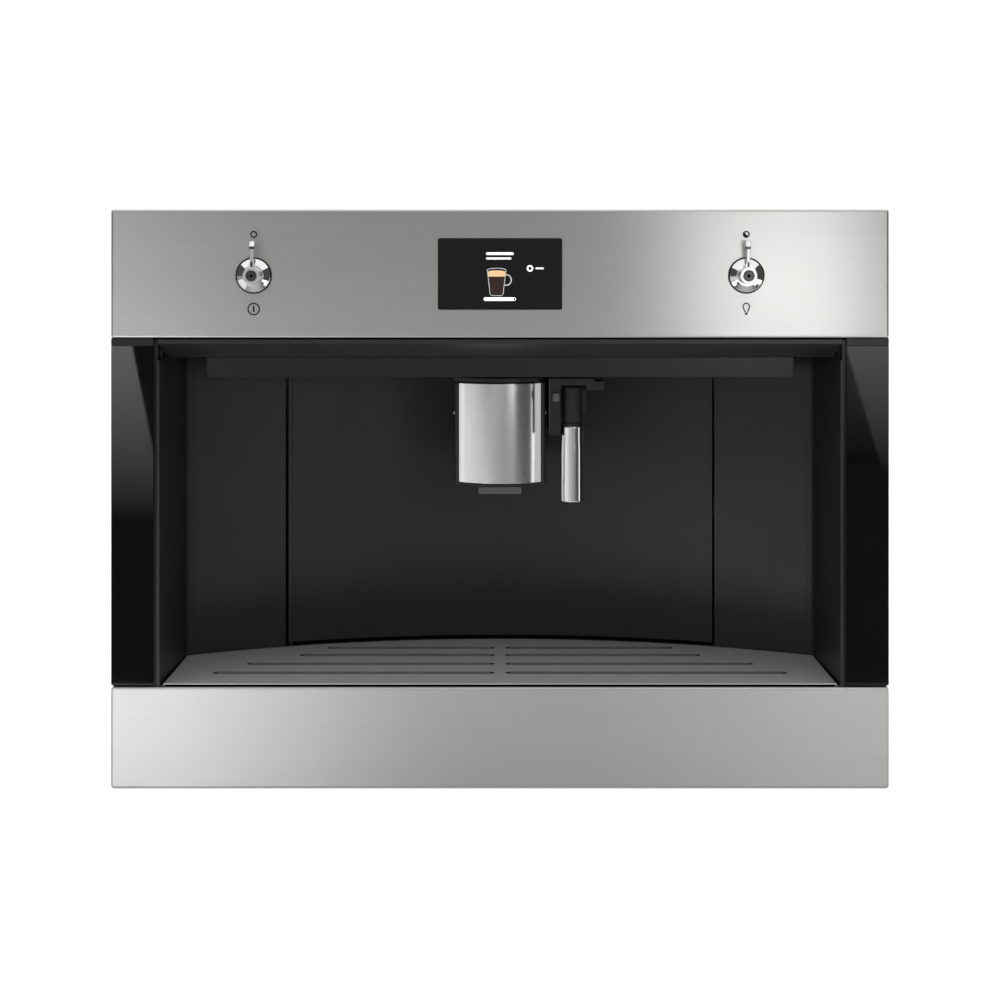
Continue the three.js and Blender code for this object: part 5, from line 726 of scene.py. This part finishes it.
def recess_lining(name, side):
    """Side wall and corner panel in one: a thin wall carried along the side and round the corner."""
    inner = -NICHE_HALF + WALL_TAPER
    corner = back_wall([inner])[0]
    straight = np.column_stack([np.linspace(-NICHE_HALF, inner, 30), np.linspace(FRONT + 1, corner[1], 30)])
    curve = back_wall(np.linspace(inner, lining_high[0], 40))
    bend = rounded([straight[0], corner, curve[-1]], 5, 12)[1:-1]
    before = straight[straight[:, 1] < bend[0][1] - 0.5]
    after = curve[curve[:, 0] > bend[-1][0] + 0.5]
    path = np.concatenate([before, bend, after])
    foot = np.where(path[:, 1] < FRONT + FASCIA_BACK, FASCIA_CLEAR, lining_low[2])
    shell = wall(path, LINING, foot, lining_high[2], 0.35)
    ledge = rounded_box((inner - 0.5, FRONT + 30, lining_low[2]),
                        (inner + LEDGE, FRONT + 100, lining_low[2] + 2), 0.4)
    return dressed(surface(name, mirrored(shell, side), mirrored(ledge, side)), RECESS_SATIN_PAINTED_LIGHT, "machine",
                   name.replace("smooth", "recess_lining"), slot="black_satin")


recess_lining("smooth_left", 1)
recess_lining("smooth_right", -1)

door_path = back_wall(np.linspace(door_low[0] + 0.6, door_high[0], 120))
barrel = turned(rounded([[0, door_low[2]], [2.2, door_low[2]], [2.2, door_high[2]], [0, door_high[2]]], 0.3),
                (door_low[0] + 2.3, door_path[0][1] + 2.7, 0), "up", 32)
dressed(surface("door_skin", wall(door_path, DOOR_SHEET, door_low[2], door_high[2], 0.5), barrel), RECESS_SATIN_PAINTED_LIGHT,
        "service_door", "service_door", slot="black_satin")

# ---- Cup plate: rims of its drain slots and its front lip, with painted shade round the slots and under the lip ---

plate_low, plate_high = (np.array(corner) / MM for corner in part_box("cup_plate"))
SLOT_ROWS = [[41.6, 35], [75, 57.2], [108.4, 96.5], [138.3, 116.7]]  # behind the front, from the side
SLOT_HALF = 1.2
WEB_HALF = 7.0  # between the left and the right slots
SHADE_BAND, SHADE_BAND_RISE = 2.8, 0.06  # width and height of the painted shade round a slot
BEAD, BEAD_RISE = 0.3, 0.14  # half the width and the height of the raised line round that
SUNK = -0.1  # its foot, inside the plate


def slot_ring(middle, half_length, profile):
    """A ring round a slot: a profile [outwards, up] carried along a line with round ends, on the plate.

    A point lies at the line's point plus its outward normal times the distance outwards.
    """
    line = pill(middle, half_length, SLOT_HALF, 10)
    along = np.roll(line, -1, axis=0) - np.roll(line, 1, axis=0)
    along /= np.linalg.norm(along, axis=1, keepdims=True)
    out = np.column_stack([along[:, 1], -along[:, 0]])
    outwards, up = np.array(profile).T[:, :, None, None]
    plan = line + out * outwards
    height = plate_high[2] + up + 0 * plan[..., :1]
    return np.concatenate([plan, height], axis=-1), True, True


slots = [
    ((side * (WEB_HALF + plate_high[0] - margin) / 2, FRONT + y), (plate_high[0] - margin - WEB_HALF) / 2)
    for y, margin in SLOT_ROWS for side in (-1, 1)
]
shade_band = [(0.0, 0.0), (0.0, SHADE_BAND_RISE), (SHADE_BAND, SHADE_BAND_RISE), (SHADE_BAND, 0.0)]
turn = np.linspace(np.pi, 0, 7)
bead = np.column_stack([SHADE_BAND + BEAD + BEAD * np.cos(turn), BEAD_RISE * np.sin(turn)])
bead = np.concatenate([bead, [(SHADE_BAND + 2 * BEAD, SUNK), (SHADE_BAND, SUNK)]])
# Black bands round the slots: painted shade of the slots.
dressed(surface("slot_painted_shade", *(slot_ring(m, h, shade_band) for m, h in slots)), PAINTED_SHADE,
        "drip_tray", slot="black_moulded")
dressed(surface("slot_rims", *(slot_ring(m, h, bead) for m, h in slots)), STAINLESS_PLATE,
        "drip_tray", slot="brushed_steel")
lip = rounded_box((plate_low[0] + 1, plate_low[1] - 0.7, plate_high[2] - 0.55),
                  (plate_high[0] - 1, plate_low[1] + 0.8, plate_high[2] + 0.25), 0.35)
# A black strip under the plate's front lip: painted shadow.
under_lip_shade = rounded_box((plate_low[0] + 1, plate_low[1] - 0.5, plate_high[2] - 2.6),
                        (plate_high[0] - 1, plate_low[1] + 0.6, plate_high[2] - 0.65), 0.2)
dressed(surface("lip_shadow", under_lip_shade), PAINTED_SHADE, "drip_tray", slot="black_moulded")
dressed(surface("plate_lip", lip), LEVER_CHROME, "drip_tray", slot="brushed_steel")

# ---- Coffee spout and hot water outlet -----------------------------------------------------------

shell_low, shell_high = (np.array(corner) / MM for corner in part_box("spout_shell"))
SHELL_RADIUS = 48.4
SHELL_CENTRE = shell_low[1] + SHELL_RADIUS
SHELL_SHEET = 1.2
NOZZLE_HALF = 17.4
MARK_IN, MARK_OUT = 36.5, 37.4  # the height marks at the shell's sides, from its middle


def arc_front(radius, half, steps=64):
    """The front of a circle about the shell's axis in plan: y is its centre less the root of radius squared
    less x squared, from left to right."""
    x = np.linspace(-half, half, steps)
    return np.column_stack([x, SHELL_CENTRE - np.sqrt(radius**2 - x**2)])


shell = wall(arc_front(SHELL_RADIUS, shell_high[0]), SHELL_SHEET, shell_low[2], shell_high[2], 0.45)
dressed(surface("shell", shell), STAINLESS_SHELL, "coffee_spout", "spout_shell", slot="brushed_steel")
shell_foot = wall(arc_front(SHELL_RADIUS + 0.05, shell_high[0] + 0.2), 4.0,
                  shell_low[2] - 2.2, shell_low[2] - 0.3, 0.5)
dressed(surface("shell_foot", shell_foot), MOULDED, "coffee_spout", slot="black_moulded")
body_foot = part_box("spout_body")[0][2] / MM
nozzle = rounded_box((-NOZZLE_HALF, shell_low[1] + 7.6, body_foot - 0.2),
                     (NOZZLE_HALF, shell_low[1] + 12, shell_low[2] - 3.2), 0.5)
dressed(surface("nozzle_face", nozzle), CAP_GREY, "coffee_spout", slot="black_moulded")
for side, start, end in (("left", -MARK_OUT, -MARK_IN), ("right", MARK_IN, MARK_OUT)):
    mark = rounded_box((start, shell_low[1] + 16, shell_low[2] + 54.5),
                       (end, shell_low[1] + 20, shell_low[2] + 56.6), 0.25)
    dressed(surface(f"height_mark_{side}", mark), LEVER_CHROME, "coffee_spout", slot="chrome")

tube_low, tube_high = (np.array(corner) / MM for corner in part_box("water_tube"))
tube_axis = ((tube_low[0] + tube_high[0]) / 2, (tube_low[1] + tube_high[1]) / 2, 0)
foot, top = tube_low[2], tube_high[2]
tube = turned(rounded([
    [8.4, foot + 0.4], [8.9, foot], [9.6, foot + 0.8], [9.6, top - 20], [9.1, top - 8], [9.1, top - 0.6],
    [8.8, top], [8.4, top - 0.4], [8.4, foot + 0.4],
], 0.35, 5), tube_axis, "up", 128)
dressed(surface("tube", tube), STAINLESS_TUBE, "hot_water_outlet", "water_tube", slot="brushed_steel")
sleeve_low, sleeve_high = (np.array(corner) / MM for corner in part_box("water_sleeve"))
base, crown = top + 0.3, sleeve_high[2]
grip = turned(rounded([
    [0.0, sleeve_low[2]], [8.1, sleeve_low[2]], [8.1, base], [8.6, base], [8.6, base + 1.9],
    [7.7, base + 2.5], [7.7, crown - 1.6], [6.9, crown], [0.0, crown],
], 0.5, 5), tube_axis, "up", 96)
PLUG = 4.5  # radius
plug_depth = sleeve_high[1] - tube_axis[1]
plug = turned([[0.0, -plug_depth], [PLUG, -plug_depth], [PLUG, 0.0], [0.0, 0.0]],
              (tube_axis[0], tube_axis[1], shell_high[2] - 14.9), "front", 48)
dressed(surface("sleeve", grip, plug), MOULDED, "hot_water_outlet", "water_sleeve", slot="black_moulded")

# ---- Screws of the casing ------------------------------------------------------------------------

SCREW_HEAD = [[0.0, 0.8], [0.9, 0.8], [1.2, 1.7], [2.2, 1.5], [3.2, 0.8], [3.4, 0.0], [0.0, 0.0]]


def screws(name, spots, outwards):
    """Pan heads in one piece: the head's turned form laid towards an axis (x, -x, y or z) at each spot."""
    head = turned(SCREW_HEAD, (0, 0, 0), "up", 20)[0]
    a, b, h = head[..., 0], head[..., 1], head[..., 2]
    laid = np.stack({"x": (h, a, b), "-x": (-h, a, b), "y": (a, h, b), "z": (a, b, h)}[outwards], axis=-1)
    grids = [(laid + np.array(spot), False, True) for spot in spots]
    return dressed(surface(name, *grids), SCREW_STEEL, "machine", slot="galvanised")


EDGE = 9.0  # of a screw from its panel's edge
low, high = (np.array(corner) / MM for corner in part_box("rear_panel"))
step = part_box("side_panel_left")[0][2] / MM  # the rear panel is narrower below this height
upright = (step + EDGE, (step + high[2]) / 2, high[2] - EDGE)
spots = [(x, high[1], z) for x in (low[0] + EDGE, high[0] - EDGE) for z in upright]
screws("rear_screws", spots + [(0.0, high[1], z) for z in (low[2] + EDGE, high[2] - EDGE)], "y")
roof = high[2]
low, high = (np.array(corner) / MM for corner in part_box("top_panel"))
lengthways = np.linspace(low[1] + 2 * EDGE, high[1] - EDGE, 4)
screws("top_screws", [(x, y, roof) for x in (low[0] + EDGE, high[0] - EDGE) for y in lengthways], "z")
for side, outwards in (("left", "-x"), ("right", "x")):
    low, high = (np.array(corner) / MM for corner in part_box(f"side_panel_{side}"))
    skin = low[0] if side == "left" else high[0]
    spots = [(skin, y, high[2] - EDGE) for y in np.linspace(low[1] + EDGE, high[1] - EDGE, 4)]
    spots += [(skin, low[1] + EDGE, z) for z in (low[2] + EDGE, (low[2] + high[2]) / 2)]
    screws(f"side_screws_{side}", spots, outwards)

# ---- Floor and light -----------------------------------------------------------------------------

WHITE_GLOW = (1, 1, 1, 1)
PAPER_GLOW = 0.62  # of the backdrop behind the object
ROOM_GLOW = 0.07
SKY_GLOW = 0.95  # of the softbox
RIGHT_GLOW = 7.6  # of the card at the right, the brightest
BESIDE = -1.72  # depth of the cards on either side of the camera, in metres


def staged(name, grid, finish, *unseen_by):
    """A surface of the set, which is no part of the object and is left out of some kinds of ray."""
    made = surface(name, (grid, False, False))
    made.data.materials.append(finish.material)
    for ray in unseen_by:
        setattr(made, f"visible_{ray}", False)


def glowing(name):
    """A black finish whose white glow is still to be linked."""
    return Finish(name, Roughness=1.0, Base_Color=(0, 0, 0, 1), Emission_Color=WHITE_GLOW)


def backdrop():
    """A seamless backdrop: floor, quarter round and wall as one profile carried across.

    It glows, but for the floor behind the camera, so the paper reads near white with a faint shadow.
    """
    reach, depth, bend = 6000, 3400, 1200  # its half width and height, its wall and its quarter round, in mm
    turn = np.linspace(0, np.pi / 2, 24)
    quarter = np.column_stack([depth - bend + bend * np.sin(turn), bend - bend * np.cos(turn)])
    profile = np.concatenate([[[-reach, 0]], quarter, [[depth, reach]]])
    across = np.linspace(-reach, reach, 3)
    grid = np.stack([np.column_stack([np.full(len(profile), x), profile]) for x in across])
    finish = Finish("pale_backdrop", Roughness=0.9, Specular_IOR_Level=0.1, Emission_Color=WHITE_GLOW)
    finish.colour(finish.noise(2.0, 2.0), (0.80, 0.80, 0.80), (0.84, 0.84, 0.84))
    glow = finish.between(finish.along("Y"), 0.0, PAPER_GLOW, -4.0, -1.5)
    finish.link(glow, finish.shader.inputs["Emission Strength"])
    staged("backdrop", grid, finish, "glossy")


def studio():
    """The room that gloss shows, dim all round and grey straight below; the camera sees it as white."""
    world = bpy.data.worlds.new("studio")
    world.use_nodes = True
    nodes, links = world.node_tree.nodes, world.node_tree.links
    background = nodes["Background"]
    background.inputs["Color"].default_value = WHITE_GLOW
    split = nodes.new("ShaderNodeSeparateXYZ")
    links.new(nodes.new("ShaderNodeTexCoord").outputs["Generated"], split.inputs["Vector"])
    below = nodes.new("ShaderNodeMapRange")
    for socket, value in (("From Min", -0.9), ("From Max", -0.6), ("To Min", 0.5), ("To Max", ROOM_GLOW)):
        below.inputs[socket].default_value = value
    links.new(split.outputs["Z"], below.inputs["Value"])
    paper = nodes.new("ShaderNodeMath")
    paper.operation = "MAXIMUM"
    links.new(nodes.new("ShaderNodeLightPath").outputs["Is Camera Ray"], paper.inputs[0])
    links.new(below.outputs["Result"], paper.inputs[1])
    links.new(paper.outputs["Value"], background.inputs["Strength"])
    bpy.context.scene.world = world


def low_field(middle, left, right):
    """A glowing field under the floor's level in front, for gloss alone: brighter to the left and right."""
    x, y = np.linspace(-1100, 1100, 3), np.linspace(-1450, -720, 3)
    grid = np.stack([np.column_stack([np.full(3, a), y, np.full(3, -200.0)]) for a in x])
    finish = glowing("low_field")
    across = finish.along("X")
    total = finish.node("ShaderNodeMath", operation="ADD")
    finish.link(finish.between(across, left, middle, -0.42, -0.1), total.inputs[0])
    finish.link(finish.between(across, 0, right - middle, 0.12, 0.36), total.inputs[1])
    finish.link(total.outputs["Value"], finish.shader.inputs["Emission Strength"])
    staged("low_field", grid, finish, "camera", "shadow", "diffuse")


def softbox(name, place, aim, width, height, radiance):
    """A rectangular light of even radiance, at a place and turned to its aim, in metres."""
    light = bpy.data.lights.new(name, "AREA")
    light.shape = "RECTANGLE"
    light.size, light.size_y = width, height
    light.energy = radiance * math.pi * width * height
    made = bpy.data.objects.new(name, light)
    made.location = place
    made.rotation_euler = (Vector(aim) - Vector(place)).to_track_quat("-Z", "Y").to_euler()
    bpy.context.collection.objects.link(made)


def card(name, corners, axis, low, high, *unseen_by):
    """A glowing card out of the picture: a flat quad in metres, each point a mean of its four corners.

    The glow runs along an axis, from low at its lesser end to high at its greater.
    """
    a, b, c, d = (np.array(corner, dtype=float) / MM for corner in corners)
    t = np.linspace(0, 1, 3)[:, None, None]
    u = np.linspace(0, 1, 3)[None, :, None]
    grid = (1 - t) * ((1 - u) * a + u * b) + t * ((1 - u) * d + u * c)
    finish = glowing(name)
    along = grid[..., "XYZ".index(axis)] * MM
    glow = finish.between(finish.along(axis), low, high, along.min(), along.max())
    finish.link(glow, finish.shader.inputs["Emission Strength"])
    staged(name, grid, finish, "camera", "shadow", *unseen_by)


def standing(start, end, foot, top):
    """Corners of an upright rectangle over the line from start to end [x, y]."""
    return [(*start, foot), (*end, foot), (*end, top), (*start, top)]


backdrop()
studio()
low_field(1.1, 3.5, 1.75)
softbox("softbox_above", (0, -0.8, 2.4), (0, -0.8, 0), 6.0, 4.4, SKY_GLOW)
shell_front = shell_low[1] * MM
CARDS = [
    ("card_left", standing((-1.5, -0.5), (-1.5, -1.7), 0.0, 0.33), "Z", 0.3, 0.3),
    # Seen in the glass of the columns, the first two with a slanting inner edge.
    ("card_glass_left", [(-1.2, BESIDE, -0.01), (-0.5155, BESIDE, -0.01),
                         (-0.5745, BESIDE, 0.285), (-1.2, BESIDE, 0.285)], "Z", 0.0, 3.9),
    ("card_glass_right", [(0.597, BESIDE, 0.06), (0.9, BESIDE, 0.06),
                          (0.9, BESIDE, 0.285), (0.530, BESIDE, 0.285)], "Z", 0.0, 2.7),
    ("card_glass_soft", standing((0.45, BESIDE - 0.02), (0.9, BESIDE - 0.02), 0.08, 0.27), "Z", 0.0, 0.7),
    # Seen in the right half of the upper fascia.
    ("card_right", standing((0.25, -0.8), (0.39, -0.8), 0.325, 0.45), "Z", RIGHT_GLOW, RIGHT_GLOW * 0.35),
    ("card_right_soft", standing((0.15, -0.8), (0.25, -0.8), 0.325, 0.45), "X", 0.0, RIGHT_GLOW * 0.6),
    # Seen in the spout's shell: its front, its sides and last its rims alone.
    ("screen_spout", standing((-0.33, -0.62), (0.33, -0.62), 0.05, 0.3), "X", 0.55, 0.17),
    ("screen_left", standing((-0.52, -0.24), (-0.52, -0.95), -0.05, 0.3), "Y", 0.5, 0.9),
    ("screen_right", standing((0.52, -0.22), (0.52, -0.352), -0.05, 0.3), "Y", 1.5, 1.5),
    ("glow_left", standing((-0.075, shell_front - 0.005), (-0.075, shell_front + 0.011), 0.13, 0.31),
     "Z", 0.95, 0.95, "diffuse"),
    ("glow_right", standing((0.0385, shell_front + 0.0055), (0.0385, shell_front + 0.0125), 0.13, 0.31),
     "Z", 0.6, 0.6, "diffuse"),
    # Behind the camera.
    ("card_behind", standing((-0.6, -2.4), (0.5, -2.4), 0.2, 0.9), "Z", 0.5, 0.5),
]
for row in CARDS:
    card(*row)

# ---- Camera --------------------------------------------------------------------------------------

EYE_DISTANCE = 1500.0  # in front of the fascias
EYE_HEIGHT = TOP - 31.0
PHOTO_SPAN = 767.4  # millimetres of the front plane across the photograph
DROP = 0.25  # of the picture's width, from the eye's height to the picture's middle
SENSOR = 36.0
bpy.context.scene.view_settings.view_transform = "Standard"
camera = bpy.data.cameras.new("photo_view")
camera.sensor_width = SENSOR
camera.lens = SENSOR * EYE_DISTANCE / PHOTO_SPAN
camera.shift_y = -DROP
eye = bpy.data.objects.new("photo_view", camera)
eye.location = (0, (FRONT - EYE_DISTANCE) * MM, EYE_HEIGHT * MM)
eye.rotation_euler = (math.pi / 2, 0, 0)
bpy.context.collection.objects.link(eye)
bpy.context.scene.camera = eye
